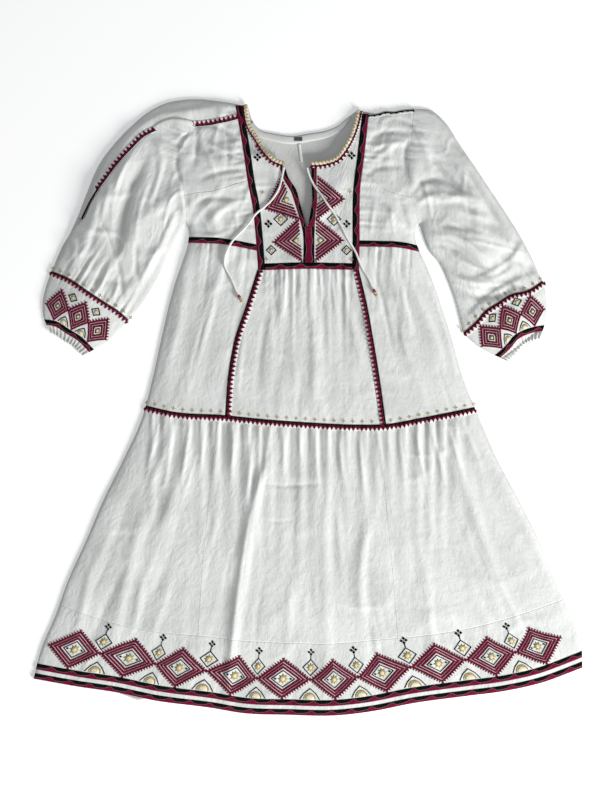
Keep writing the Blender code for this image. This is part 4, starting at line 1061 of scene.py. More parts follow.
def front(name, sides, nodes, step=GRID):
    """A front panel as a piece of its own."""
    return joined(name, [front_shell(sides, step)], cotton, "cotton", nodes)


# %% Flattened tube
BACK_GRID = 8.5
BACK_CLOTH = 0.8
SIDE_HEIGHT = 1.2  # where front and back meet at the side
SIDE_CLOTH = 0.7  # the cloth's thickness there
BACK_TURN = 2.5  # the back rounds up to the side within this distance of it


def tube(name, front_grid, nodes):
    """Front and back as one cut that goes all round, closed at both sides and open at its ends."""
    rows, columns = front_grid.shape[:2]
    u = shares(columns * GRID, BACK_GRID)[1:-1][::-1]
    way = np.linspace(0, 1, columns)
    back = np.stack([
        np.stack([np.interp(u * (columns - 1), np.arange(columns), row[:, k]) for k in (0, 1)], axis=-1)
        for row in front_grid
    ])
    high = skin(front_grid, SIDE_HEIGHT)
    high[0] -= SEAM_DIP
    high[-1] -= SEAM_DIP
    low = SIDE_HEIGHT * (1 - rounding(back, BACK_TURN))
    places = np.concatenate([np.dstack([front_grid, high]), np.dstack([back, low])], axis=1)
    inner = places.copy()
    inner[:, :columns, 2] -= BACK_CLOTH
    inner[:, columns:, 2] += BACK_CLOTH
    inner[:, [0, columns - 1], 2] = SIDE_HEIGHT
    for edge, beside_it in ((0, 2), (columns - 1, columns - 3)):
        inward = front_grid[:, beside_it] - front_grid[:, edge]
        inward /= np.linalg.norm(inward, axis=1, keepdims=True)
        inner[:, edge, :2] += inward * SIDE_CLOTH
    loop = places.shape[1]
    count = rows * loop
    i, k = np.meshgrid(np.arange(rows - 1), np.arange(loop), indexing="ij")
    a, b = (i * loop + k).ravel(), (i * loop + (k + 1) % loop).ravel()
    outside = np.stack([a, a + loop, b + loop, b], axis=1)
    k = np.arange(loop)
    after = (k + 1) % loop
    top_rim = np.stack([k, after, after + count, k + count], axis=1)
    end = count - loop
    end_rim = np.stack([k + end, k + end + count, after + end + count, after + end], axis=1)
    faces = np.vstack([outside, outside[:, ::-1] + count, top_rim, end_rim])
    if mirrored(front_grid):
        faces = faces[:, ::-1]
    flat_uv = cloth_map(front_grid).reshape(rows, columns, 2)
    back_uv = np.stack([
        np.stack([np.interp(u, way, row[:, 0]), np.full(len(u), row[0, 1])], axis=-1) for row in flat_uv
    ])
    uv = np.concatenate([flat_uv, back_uv], axis=1).reshape(-1, 2)
    places = np.vstack([places.reshape(-1, 3), inner.reshape(-1, 3)])
    return piece_of(name, places, faces.tolist(), np.vstack([uv, uv]), cotton, "cotton", nodes)


# %% [markdown]
# ## The bodice
# The bib is two halves beside a slit. Beside it are the shoulder pieces and, below the bust seams,
# the side fronts. The back is one piece that lies flat on the floor, with a facing, a bare woven
# tab and a hanging loop inside its neck.

# %% Widths of bands and trims
BIB_BAND = 12.5
NECK_EDGE = 13.0
SAW_BAND = 11.5
EMPIRE_BAND = 10.5
CUFF_RIBBON = 10.0
CUFF_FRILL = 14.0
HEM_RIBBON = 11.0
HEM_GAP = 19.0
SHOULDER_TRIM = 9.0

# %% Bodice front
band_left, band_right = line("bib_band_left"), line("bib_band_right")
bib_left_edge, bib_right_edge = beside(band_left, BIB_BAND), beside(band_right, -BIB_BAND)
neck_left, neck_right = line("neck_left"), line("neck_right")
low_left, low_right = beside(neck_left, -NECK_EDGE), beside(neck_right, -NECK_EDGE)
bib_bottom = line("bib_bottom")
under_bib = beside(bib_bottom, -SAW_BAND)
slit_top = np.array([[-14.0, 338.0], [16.0, 338.0]])


def side_line(side):
    """The side front's outer edge: the lower armhole, then the side seam."""
    hole, seam = line(f"armhole_{side}"), line(f"side_{side}")
    return np.vstack([hole[:-1], seam[1:]])


front("bib_cloth_left", (low_left, line("placket_left"), bib_bottom, bib_left_edge), ["bib_left"], step=2.6)
front("bib_cloth_right", (low_right, bib_right_edge, bib_bottom, line("placket_right")), ["bib_right"],
      step=2.6)
trim_left = line("trim_left")
trim_under = beside(trim_left, -SAW_BAND)
shoulder_line = line("shoulder_right")
shoulder_under = beside(shoulder_line, -SHOULDER_TRIM)
hole_left, hole_right = line("armhole_left"), line("armhole_right")
bust_left, bust_right = line("bust_left"), line("bust_right")
empire_left, empire_right = line("empire_left"), line("empire_right")
front("shoulder_cloth_left", (trim_under, band_left, bust_left, hole_left), ["shoulder_left"])
front("shoulder_cloth_right", (shoulder_under, hole_right, bust_right, band_right), ["shoulder_right"])
front("bust_cloth_left", (bust_left, band_left, empire_left, side_line("left")), ["side_bust_left"])
front("bust_cloth_right", (bust_right, side_line("right"), empire_right, band_right), ["side_bust_right"])

# %% Bodice back
side_left, side_right = line("side_left"), line("side_right")
waist = smooth([(-226, 312), (-120, 306), (0, 303), (120, 306), (206, 300)])
top_left = line("top_left")
back_top = np.vstack([top_left[top_left[:, 0] > -205], line("back_neck")[1:], line("shoulder_right")[5:]])
back_left = np.vstack([[(-205, 575)], hole_left, side_left[2:]])


def back_shell(sides, step=6.0):
    """A piece of the back: flat where it rests on the floor, with faint crumples inside."""
    grid = grid_of(sides, step)
    top = 1.1 + 0.15 * np.sin(grid[..., 0] / 23 + grid[..., 1] / 57) * np.sin(grid[..., 1] / 31)
    return shell_of(grid, top, top)


# The back's pieces take the greyer inside cotton, painted shade for cloth under the front.
def back(name, sides, nodes, step=6.0):
    return joined(name, [back_shell(sides, step)], cotton_inside, "cotton_inside", nodes)


back("back_cloth", (back_top, side_line("right"), waist, back_left), ["back_bodice"], 4.5)

# %% Inside the back neck
facing_rim = beside(line("back_neck"), -0.3)
deep = 15.0 * np.sin(np.linspace(0, math.pi, len(facing_rim))) ** 0.5
facing_low = along(facing_rim, travelled(facing_rim), -deep)
facing_rows = np.linspace(0, 1, 6)[:, None, None]
facing_grid = ((1 - facing_rows) * facing_rim + facing_rows * facing_low)[:, 8:-4]
facing_top = 2.25 + 0.25 * np.sin(facing_rows[..., 0] * math.pi) * np.ones(facing_grid.shape[:2])
facing_top = facing_top - SEAM_DIP * (facing_rows[..., 0] > 0.9)
shell("neck_facing", facing_grid, facing_top, 0.7, shaded_facing_cotton, "cotton_inside", ["back_neck_facing"])


def small_slab(name, size, centre, lean, floor, finish, slot, node, step=1.5, crown=0.15):
    """A small woven piece that lies on the back's inside, a little crowned."""
    across = np.linspace(-0.5, 0.5, ruler(size[0], step) + 1)
    down = np.linspace(0.5, -0.5, ruler(size[1], step) + 1)
    x, y = np.meshgrid(across * size[0], down * size[1])
    c, s = math.cos(lean), math.sin(lean)
    turned = np.stack([x * c - y * s, x * s + y * c], axis=-1)
    top = floor + size[2] + crown * np.cos(x / size[0] * math.pi) * np.cos(y / size[1] * math.pi)
    return shell(name, turned + np.array(centre), top, size[2], finish, slot, [node])


tab_finish = woven("tab_finish", (0.060, 0.068, 0.062), (0.040, 0.046, 0.044), 0.0001, 0.0008)
small_slab("woven_tab", (15.0, 7.0, 0.6), (-18.0, 502.5), 0, 2.9, tab_finish, "tab", "size_tab")
small_slab("neck_loop", (5.0, 34.0, 0.8), (-14.0, 477.0), math.radians(8), 1.6, loop_cotton, "cotton",
           "hanging_loop")

# %% [markdown]
# ## Sleeves and cuffs
# Each sleeve is one cut that goes all round the arm, gathered into a cuff. Laid flat it is a
# flattened tube. The left sleeve's back half rolls over its outer fold, so the trim that lies
# along the sleeve shows a little inside its edge, with a strip of the back above it.

# %% Sleeves
sleeve_low = smooth([(-446, 326), (-458, 306), (-480, 256)])
sleeve_outer_left = beside(smooth([*trim_under[::-8], (-446, 326), (-458, 306), (-480, 256)]), 0.9)
cuff_left, cuff_right = line("cuff_left"), line("cuff_right")
left_sides = (hole_left, line("sleeve_left_under"), cuff_left, sleeve_outer_left)
back_hole = np.vstack([[(-205, 575)], hole_left])
back_outer = np.vstack([top_left[top_left[:, 0] < -205][::-1], sleeve_low])
under_sides = (back_hole, line("sleeve_left_under"), cuff_left, back_outer)
fold_end = np.array([[-405.0, 344.0], [-450.0, 366.0]])
rolled_sides = (top_left, band_left, trim_left, fold_end)
left_shells = [front_shell(left_sides), back_shell(under_sides), front_shell(rolled_sides)]
joined("sleeve_left_cloth", left_shells, cotton, "cotton",
       ["sleeve_left_front", "sleeve_left_back", "sleeve_left_fold"])
right_sides = (hole_right[::-1], line("sleeve_right_outer"), cuff_right, line("sleeve_right_under"))
tube("sleeve_right_cloth", grid_of(right_sides), ["sleeve_right_front", "sleeve_right_back"])

# %% Cuffs and frills
CUFF_EDGES = {
    "left": ("cuff_left_outer", "cuff_left_under"),
    "right": ("cuff_right_under", "cuff_right_outer"),
}
for side, (left, right) in CUFF_EDGES.items():
    left, right = line(left), line(right)
    top, end = line(f"cuff_{side}"), line(f"cuff_end_{side}")
    low = beside(end, -CUFF_RIBBON)
    cuff_grid = grid_of((top, right, low, left), 2.8)
    tube(f"cuff_{side}_cloth", cuff_grid, [f"cuff_{side}_front", f"cuff_{side}_back"])
    grid = grid_of((beside(low, 1.5), right, beside(low, -CUFF_FRILL), left), 1.4)
    v = np.linspace(0, 1, len(grid))[:, None]
    run = np.r_[0, np.cumsum(np.linalg.norm(np.diff(grid[0], axis=0), axis=1))]
    wave = np.cos(run * TURN / 8.3 + 1.5 * np.sin(run / 11)) + 0.4 * np.cos(run * TURN / 3.9)
    grid = grid + ((grid[-1] - grid[0]) * (0.06 * wave)[:, None])[None] * v[..., None]
    top = np.maximum(skin(grid, 1.4) * (1 - 0.35 * v) + 1.5 * wave * v ** 0.7, 1.1)
    joined(f"cuff_{side}_frill", [shell_of(grid, top, 0.7)], cotton, "cotton", [f"cuff_frill_{side}"])

# %% [markdown]
# ## The skirt
# The upper tier is cut in three gores whose seams are covered by saw-tooth stripes. The lower
# tier and the hem band go all round, so each is one flattened tube. The lower tier is cut as wide
# as the hem and drawn in to the tier seam, which makes its gathers.

# %% Upper tier
tier = line("tier")
stripe_left, stripe_right = line("stripe_left"), line("stripe_right")
under_left, under_right = beside(empire_left, -EMPIRE_BAND), beside(empire_right, -EMPIRE_BAND)
left_edge = np.vstack([band_left[band_left[:, 1] > 264], stripe_left[1:]])
right_edge = np.vstack([band_right[band_right[:, 1] > 264], stripe_right[1:]])
front("upper_tier_left", (under_left, left_edge, tier, side_left), ["skirt_upper_left"])
front("upper_tier_centre", (under_bib, stripe_right, tier, stripe_left), ["skirt_upper_centre"])
front("upper_tier_right", (under_right, side_right, tier, right_edge), ["skirt_upper_right"])
back("upper_tier_back", (waist, side_right, tier, side_left), ["skirt_upper_back"], 8.0)

# %% Lower tier and hem band
hem_stitch, hem = line("hem_stitch"), line("hem")
lower_nodes = ["skirt_lower_left", "skirt_lower_centre", "skirt_lower_right", "skirt_lower_back"]
lower_u = shares(830, 3.3)
lower_v = shares(405, 3.2) ** 1.08
tube("lower_tier", patch(tier, side_right, hem_stitch, side_left, lower_u, lower_v), lower_nodes)
hem_grid = patch(hem_stitch, side_right, hem, side_left, shares(1010, 3.1), shares(135, 3.1))
tube("hem_band", hem_grid, ["hem_band_front", "hem_band_back"])

# %% [markdown]
# ## Ribbons and trims
# A ribbon is a thin strip that lies on the cloth, a little crowned across its width. Its UV map
# runs along it and across it in metres, so that the finish can put its two colours side by side.


# %% Ribbons
def ribbon(name, upper, lower, nodes, finish, slot,
           lift=0.5, thick=0.6, crown=0.35, step=2.6, flip=False, across=4):
    """A strip between an upper and a lower line, its UV map across it from 0 at the upper line."""
    count = ruler(max(long_of(upper), long_of(lower)), step)
    share = np.linspace(0, 1, count + 1)
    a, b = stretch(upper, 0, long_of(upper), share), stretch(lower, 0, long_of(lower), share)
    v = np.linspace(0, 1, across + 1)[:, None]
    grid = a[None] + v[..., None] * (b - a)[None]
    top = skin(grid) + lift + crown * np.sin(v * math.pi) ** 0.6
    width = np.linalg.norm(a - b, axis=1).mean()
    u = share * (long_of(upper) + long_of(lower)) / 2
    side = (1 - v if flip else v) * width
    uv = np.stack(np.broadcast_arrays(u[None, :], side), axis=-1).reshape(-1, 2) * MM
    return shell(name, grid, top, thick, finish, slot, nodes, uv)


def cut(curve, start, end):
    """The part of a curve between two other lines that cross it."""
    curve = run_on(curve)
    a, _ = crossing(curve, run_on(start), 0, 0)
    b, _ = crossing(curve, run_on(end), 1, 0)
    return stretch(curve, a, b, np.linspace(0, 1, ruler(abs(b - a), 3.0) + 1))


def band(name, curve, width, start, end, nodes, finish, slot, **more):
    """A ribbon of that width under a line, from one line to another."""
    lower = beside(curve, -width)
    return ribbon(name, cut(curve, start, end), cut(lower, start, end), nodes, finish, slot, **more)


left_top = np.array([[-140.0, 565.5], [-112.0, 565.5]])
ribbon("bib_ribbon_left", cut(band_left, left_top, under_bib), cut(bib_left_edge, left_top, under_bib),
       ["bib_band_left"], ribbon_finish, "ribbon")
ribbon("bib_ribbon_right", cut(band_right, shoulder_line, under_bib),
       cut(bib_right_edge, shoulder_line, under_bib), ["bib_band_right"], ribbon_finish, "ribbon")
band("bib_ribbon_bottom", bib_bottom, SAW_BAND, bib_left_edge, bib_right_edge, ["bib_band_bottom"],
     ribbon_finish, "ribbon", flip=True)
band("bust_ribbon_left", empire_left, EMPIRE_BAND, line("side_left"), band_left, ["empire_band_left"],
     narrow_ribbon_finish, "ribbon", flip=True)
band("bust_ribbon_right", empire_right, EMPIRE_BAND, band_right, line("side_right"), ["empire_band_right"],
     narrow_ribbon_finish, "ribbon", flip=True)

# %% Cuff ribbons and hem ribbons
for side, (left, right) in CUFF_EDGES.items():
    end = line(f"cuff_end_{side}")
    band(f"cuff_{side}_end_ribbon", end, CUFF_RIBBON, line(left), line(right), [f"cuff_ribbon_{side}"],
         narrow_ribbon_finish, "ribbon", flip=True)
for name, low in (("upper", HEM_GAP), ("lower", 0.5)):
    upper_line, lower_line = beside(hem, low + HEM_RIBBON), beside(hem, low)
    ribbon(f"hem_ribbon_{name}_cloth", cut(upper_line, side_left, side_right),
           cut(lower_line, side_left, side_right), [f"hem_ribbon_{name}"], ribbon_finish, "ribbon", flip=True)

# %% The back of the hem, which shows a little below the front
hem_way = travelled(hem)
peek_from, peek_to = np.interp([-352.0, -308.0], hem[:, 0], hem_way)
peek_share = np.linspace(0, 1, 17)
peek_depth = np.interp(peek_share, [0, 0.2, 0.78, 1], [0.3, 1.8, 5.4, 0.5])
peek_rows = np.linspace(0, 1, 4)[:, None]
peek_way = np.broadcast_to(peek_from + (peek_to - peek_from) * peek_share, (4, 17))
peek_grid = along(hem, peek_way, -0.4 - peek_rows * peek_depth)
# The greyer inside cotton here is painted shade under the front's edge.
shell("hem_back_edge", peek_grid, np.full(peek_grid.shape[:2], 1.3), 0.9, cotton_inside, "cotton_inside")

# %% Placket ribbons beside the slit
fold_left, fold_right = line("placket_left"), line("placket_right")
ribbon("placket_ribbon_left", cut(fold_left, low_left, slit_top), cut(line("slit_left"), low_left, slit_top),
       ["placket_left"], ribbon_finish, "ribbon", step=2.0)
ribbon("placket_ribbon_right", cut(fold_right, low_right, slit_top),
       cut(line("slit_right"), low_right, slit_top), ["placket_right"], ribbon_finish, "ribbon", step=2.0)
ribbon("placket_ribbon_closed", cut(fold_left, slit_top, bib_bottom), cut(fold_right, slit_top, bib_bottom),
       ["placket_front"], placket_finish, "ribbon", step=2.0)

# %% [markdown]
# ## Saw-tooth trims
# The seams of the skirt, the cuffs and the sleeve heads carry a narrow embroidered trim: a black
# line, a crimson line and a row of crimson teeth. The ground is a strip of cotton. On it lie two
# satin bars, and Geometry Nodes set one small tooth after another along the seam.


# %% Satin bars
def bar(name, curve, width, finish, slot, lift=0.9, crown=0.5, step=2.4):
    """A satin-stitched bar along a curve."""
    upper, lower = beside(curve, width / 2), beside(curve, -width / 2)
    return ribbon(name, upper, lower, [], finish, slot, lift - 0.35, 0.45, crown, step, across=3)


def saw_ground(name, curve, width, start, end, node, below=True):
    """The strip of cotton under a saw-tooth trim."""
    upper, lower = (curve, beside(curve, -width)) if below else (beside(curve, width), curve)
    return ribbon(name, cut(upper, start, end), cut(lower, start, end), [node], cotton, "saw_trim",
                  lift=0.35, thick=0.5, crown=0.1)


saw_ground("tier_trim", tier, SAW_BAND, side_left, side_right, "tier_band_front")
stripe_cuts = {"left": cut(stripe_left, under_bib, tier), "right": cut(stripe_right, under_bib, tier)}
for side, stripe in stripe_cuts.items():
    saw_ground(f"stripe_trim_{side}", stripe, SAW_BAND, under_bib, tier, f"skirt_stripe_{side}",
               side == "right")
saw_ground("sleeve_trim_left_cloth", trim_left, SAW_BAND, fold_end, band_left, "sleeve_trim_left")
saw_ground("sleeve_trim_right_cloth", shoulder_line, SHOULDER_TRIM, band_right, hole_right,
           "sleeve_trim_right")
for side, (left, right) in CUFF_EDGES.items():
    saw_ground(f"cuff_{side}_trim", line(f"cuff_{side}"), SAW_BAND, line(left), line(right),
               f"cuff_band_{side}")

# %% Neck edging
NECK_ENDS = {
    "left": (np.array([[-111.0, 567.0], [-126.0, 565.5]]), line("slit_left")),
    "right": (line("slit_right"), np.array([[89.0, 556.5], [106.0, 552.5]])),
}
for side, (start, end) in NECK_ENDS.items():
    curve = line(f"neck_{side}")
    ribbon(f"neck_edging_{side}", cut(curve, start, end), beside(cut(curve, start, end), -NECK_EDGE),
           [f"neck_edge_{side}"], cotton, "neck_trim", lift=0.4, thick=0.8, crown=0.2)

# %% [markdown]
# ## Rows sewn along a seam
# Saw teeth, small crosses and running stitches all repeat along a line. One node tree makes them:
# it spaces points along the line, turns one small shape to the line's way and to the cloth's
# slope, makes the sizes a little uneven with a fixed seed, and joins the copies into plain mesh.

# %% The node tree for a row
def row_tree():
    """Geometry Nodes that set a small shape again and again along drawn lines."""
    tree = bpy.data.node_groups.new("row along a seam", "GeometryNodeTree")
    sockets = {}
    for label, kind in (("Line", "Geometry"), ("Shape", "Object"), ("Pitch", "Float"), ("Size", "Float"),
                        ("Unevenness", "Float"), ("Seed", "Int"), ("Finish", "Material")):
        socket = tree.interface.new_socket(label, in_out="INPUT", socket_type=f"NodeSocket{kind}")
        sockets[label] = socket.identifier
    tree.interface.new_socket("Row", in_out="OUTPUT", socket_type="NodeSocketGeometry")
    given = tree.nodes.new("NodeGroupInput").outputs

    def add(kind, settings, links):
        node = tree.nodes.new(kind)
        for setting, value in settings.items():
            setattr(node, setting, value)
        for key, value in links.items():
            if isinstance(value, bpy.types.NodeSocket):
                tree.links.new(value, node.inputs[key])
            else:
                node.inputs[key].default_value = value
        return node.outputs

    curve = add("GeometryNodeMeshToCurve", {}, {0: given["Line"]})
    points = add("GeometryNodeCurveToPoints", {"mode": "LENGTH"},
                 {"Curve": curve[0], "Length": given["Pitch"]})
    up = add("GeometryNodeInputNamedAttribute", {"data_type": "FLOAT_VECTOR"}, {"Name": "up"})
    along_it = add("FunctionNodeAlignRotationToVector", {"axis": "X"}, {"Vector": points["Tangent"]})
    square = add("FunctionNodeAlignRotationToVector", {"axis": "Z", "pivot_axis": "X"},
                 {"Rotation": along_it[0], "Vector": up[0]})
    least = add("ShaderNodeMath", {"operation": "SUBTRACT"}, {0: given["Size"], 1: given["Unevenness"]})
    most = add("ShaderNodeMath", {"operation": "ADD"}, {0: given["Size"], 1: given["Unevenness"]})
    size = add("FunctionNodeRandomValue", {"data_type": "FLOAT"},
               {2: least[0], 3: most[0], "Seed": given["Seed"]})
    shape = add("GeometryNodeObjectInfo", {}, {"Object": given["Shape"]})
    copies = add("GeometryNodeInstanceOnPoints", {}, {
        "Points": points["Points"], "Instance": shape["Geometry"], "Rotation": square[0], "Scale": size[1]})
    plain = add("GeometryNodeRealizeInstances", {}, {0: copies[0]})
    finished = add("GeometryNodeSetMaterial", {}, {0: plain[0], "Material": given["Finish"]})
    add("NodeGroupOutput", {}, {0: finished[0]})
    return tree, sockets


ROW_TREE, ROW_SOCKETS = row_tree()


# %% The small shapes
def small_shape(name, places, faces):
    """A shape of a few faces, in millimetres, that a row repeats."""
    mesh = bpy.data.meshes.new(name)
    mesh.from_pydata((np.array(places, float) * MM).tolist(), [], faces)
    layer = mesh.uv_layers.new(name="cloth")
    for loop in mesh.loops:
        x, y, _ = mesh.vertices[loop.vertex_index].co
        layer.data[loop.index].uv = (x, y)
    return bpy.data.objects.new(name, mesh)


def raised(outline, inset, height, sink=0.35):
    """Places and faces of a low solid: an outline, drawn in to a raised top."""
    outline = np.array(outline, float)
    middle = outline.mean(axis=0)
    top = middle + (outline - middle) * (1 - inset)
    count = len(outline)
    places = [(x, y, -sink) for x, y in outline] + [(x, y, height) for x, y in top]
    faces = [list(range(count))[::-1], list(range(count, 2 * count))]
    faces += [[k, (k + 1) % count, count + (k + 1) % count, count + k] for k in range(count)]
    return places, faces


def together(*solids):
    places, faces = [], []
    for solid_places, solid_faces in solids:
        faces += [[v + len(places) for v in face] for face in solid_faces]
        places += list(solid_places)
    return places, faces


def petals(inner, outer, half, height=0.7):
    """Four lozenge petals round a point."""
    made = []
    for quarter in range(4):
        c, s = math.cos(quarter * math.pi / 2), math.sin(quarter * math.pi / 2)
        corners = [(inner, 0), ((inner + outer) / 2, half), (outer, 0), ((inner + outer) / 2, -half)]
        made.append(raised([(x * c - y * s, x * s + y * c) for x, y in corners], 0.45, height))
    return together(*made)


def oblong(half_width, half_height):
    return [(-half_width, -half_height), (half_width, -half_height),
            (half_width, half_height), (-half_width, half_height)]


TOOTH = small_shape("tooth", *raised([(-2.5, -0.8), (2.5, -0.8), (0.6, 5.2), (-0.6, 5.2)], 0.25, 0.8))
SAW_TOOTH = small_shape("saw_tooth", *raised([(-4.0, -0.9), (4.0, -0.9), (0.5, 5.9), (-0.7, 5.9)], 0.22, 0.8))
NOTCH = small_shape("notch", *raised([(-1.9, -3.4), (1.1, -3.4), (2.6, 1.3), (2.0, 1.3)], 0.3, 0.35))
SMALL_CROSS = small_shape("small_cross", *petals(0.1, 2.6, 0.75, 0.5))
FLOWER = small_shape("four_petals", *petals(0.7, 8.4, 3.3, 0.8))
RUNNING_STITCH = small_shape("running_stitch", *raised(oblong(1.3, 0.28), 0.35, 0.32, 0.15))
LADDER_STITCH = small_shape("ladder_stitch", *raised(oblong(1.4, 2.6), 0.3, 0.6))
hexagon = [(1.3 * math.cos(a), 1.3 * math.sin(a)) for a in np.linspace(0, TURN, 7)[:-1]]
DOT = small_shape("dot", *raised(hexagon, 0.4, 0.6))


# %% A row along drawn lines
def row_of(name, trails, shape, pitch, finish, slot, size=1.0, uneven=0.06, lift=0.7, seed=1):
    """Copies of a shape along lines on the cloth, each line an array of places in millimetres."""
    places, edges, ups = [], [], []
    for trail in trails:
        trail = np.asarray(trail, float)
        start = len(places)
        places += np.column_stack([trail, skin(trail) + lift]).tolist()
        ups += facing_up(trail).tolist()
        edges += [(start + k, start + k + 1) for k in range(len(trail) - 1)]
    mesh = bpy.data.meshes.new(name)
    mesh.from_pydata((np.array(places) * MM).tolist(), edges, [])
    attribute = mesh.attributes.new("up", "FLOAT_VECTOR", "POINT")
    attribute.data.foreach_set("vector", np.ravel(ups).astype(np.float32))
    holder = bpy.data.objects.new(f"{name}_line", mesh)
    bpy.context.scene.collection.objects.link(holder)
    modifier = holder.modifiers.new("row", "NODES")
    modifier.node_group = ROW_TREE
    values = {"Shape": shape, "Pitch": pitch * MM, "Size": size, "Unevenness": uneven * size, "Seed": seed,
              "Finish": finish}
    for label, value in values.items():
        modifier[ROW_SOCKETS[label]] = value
    graph = bpy.context.evaluated_depsgraph_get()
    made = bpy.data.meshes.new_from_object(holder.evaluated_get(graph), depsgraph=graph)
    bpy.data.objects.remove(holder)
    made.name = name
    return adopt(name, made, slot)


# %% [markdown]
# ### Trims along the seams
# Each trim follows the picture: a black line on the side of the seam, a crimson line beside it,
# and on the other side crimson teeth with black notches between them. A row of tiny gold crosses
# runs over the tier seam and the cuffs.

# %% Trims on the skirt, sleeves and cuffs
class Trim:
    """A black bar, a crimson bar and a trail for teeth beside a line, on its left or its right."""

    def __init__(self, name, curve, teeth, black=2.6, crimson=3.6, gap=0.1):
        sign = 1 if teeth == "left" else -1
        crimson_at = black + gap + crimson / 2
        bar(f"{name}_black", beside(curve, sign * black / 2), black, black_thread, "saw_trim")
        bar(f"{name}_crimson", beside(curve, sign * crimson_at), crimson, crimson_thread, "saw_trim")
        edge = beside(curve, sign * (crimson_at + crimson * 0.4))
        self.teeth = edge if sign > 0 else edge[::-1]


SAW_PITCH = 8.2
tier_cut = cut(tier, side_left, side_right)
sleeve_base = beside(cut(trim_left, fold_end, band_left), -SAW_BAND + 0.8)
HIDDEN_FROM, HIDDEN_TO = seen_at(159, 0)[0], seen_at(192, 0)[0]  # a fold covers the trim here
TEETH_FROM = seen_at(99, 0)[0]  # the teeth are rolled under to the left of this
low_part = (sleeve_base[:, 0] > TEETH_FROM) & (sleeve_base[:, 0] < HIDDEN_FROM)
trims = [
    Trim("tier_saw", tier_cut, "right"),
    Trim("stripe_saw_left", stripe_cuts["left"], "left"),
    Trim("stripe_saw_right", stripe_cuts["right"], "right"),
    Trim("sleeve_saw_low", sleeve_base[low_part], "left", black=1.8, crimson=3.0),
    Trim("sleeve_saw_high", sleeve_base[sleeve_base[:, 0] > HIDDEN_TO], "left", black=1.8, crimson=3.0),
]
cuff_cuts = {}
for side, (left, right) in CUFF_EDGES.items():
    cuff_cuts[side] = cut(line(f"cuff_{side}"), line(left), line(right))
    trims.append(Trim(f"cuff_saw_{side}", beside(cuff_cuts[side], -0.8), "right", black=1.6, crimson=3.0))
rolled = sleeve_base[sleeve_base[:, 0] < TEETH_FROM + 2]
bar("sleeve_edge_black", beside(rolled, 1.2), 2.8, black_thread, "saw_trim")
bar("sleeve_edge_crimson", beside(rolled, 3.2), 1.6, crimson_thread, "saw_trim")
teeth = [t.teeth for t in trims]
row_of("saw_teeth", teeth, SAW_TOOTH, SAW_PITCH, crimson_thread, "saw_trim")
row_of("saw_notches", teeth, NOTCH, SAW_PITCH, black_thread, "saw_trim", lift=1.05)
cross_lines = [beside(tier_cut, 6.0), *(beside(cuff_cut, 4.5) for cuff_cut in cuff_cuts.values())]
row_of("gold_crosses", cross_lines, SMALL_CROSS, 17.5, gold_thread, "saw_trim", size=1.6, lift=0.3)
shoulder_cut = cut(shoulder_line, band_right, hole_right)
bar("shoulder_wave", beside(shoulder_cut, -3.5), 2.8, black_thread, "saw_trim")
row_of("shoulder_points", [beside(shoulder_cut, -4.2)[::-1]], DOT, 10.5, black_thread, "saw_trim", size=2.0)

# %% Neck edging
NECK_CREAM, NECK_CRIMSON = 5.8, 3.2
neck_cuts = {side: cut(line(f"neck_{side}"), *ends) for side, ends in NECK_ENDS.items()}
cream_at = -0.4 - NECK_CREAM / 2
crimson_at = -(0.4 + NECK_CREAM + 1.2 + NECK_CRIMSON / 2)
for side, curve in neck_cuts.items():
    bar(f"neck_cream_{side}", beside(curve, cream_at), NECK_CREAM, cream_thread, "neck_trim", crown=1.0)
    bar(f"neck_crimson_{side}", beside(curve, crimson_at), NECK_CRIMSON, crimson_thread, "neck_trim")
curves = list(neck_cuts.values())
row_of("neck_ladder", [beside(c, cream_at) for c in curves], LADDER_STITCH, 6.6, gold_thread, "neck_trim",
       size=0.95, uneven=0.15, lift=1.5)
NARROW = 26  # points at the shoulder end, where the edging meets the bib's ribbon
outer = [beside(c, crimson_at - 1.2)[::-1] for c in curves]
NECK_PITCH = 7.6
row_of("neck_teeth", [outer[0][:-NARROW], outer[1][NARROW:]], SAW_TOOTH, NECK_PITCH, crimson_thread,
       "neck_trim", size=0.93)
row_of("neck_short_teeth", [outer[0][-NARROW:], outer[1][:NARROW]], TOOTH, 5.6, crimson_thread, "neck_trim",
       size=0.5)
row_of("neck_inner_teeth", [beside(c, crimson_at + 1.4) for c in curves], TOOTH, NECK_PITCH, crimson_thread,
       "neck_trim", size=0.42)
row_of("neck_dots", [beside(c, crimson_at) for c in curves], DOT, NECK_PITCH, black_thread, "neck_trim",
       size=0.8, lift=1.35)

# %% [markdown]
# ## Embroidery
# The hem, the bib and the cuffs carry a folk border. It is a design of this script's own, from the
# plain shapes that such borders share: nested lozenges in crimson with saw-tooth edges, stars with
# eight points in gold and cream, black frames and crosses. Each line is a satin bar that
# follows the cloth, drawn in the border's own measures: along the hem and up from it.


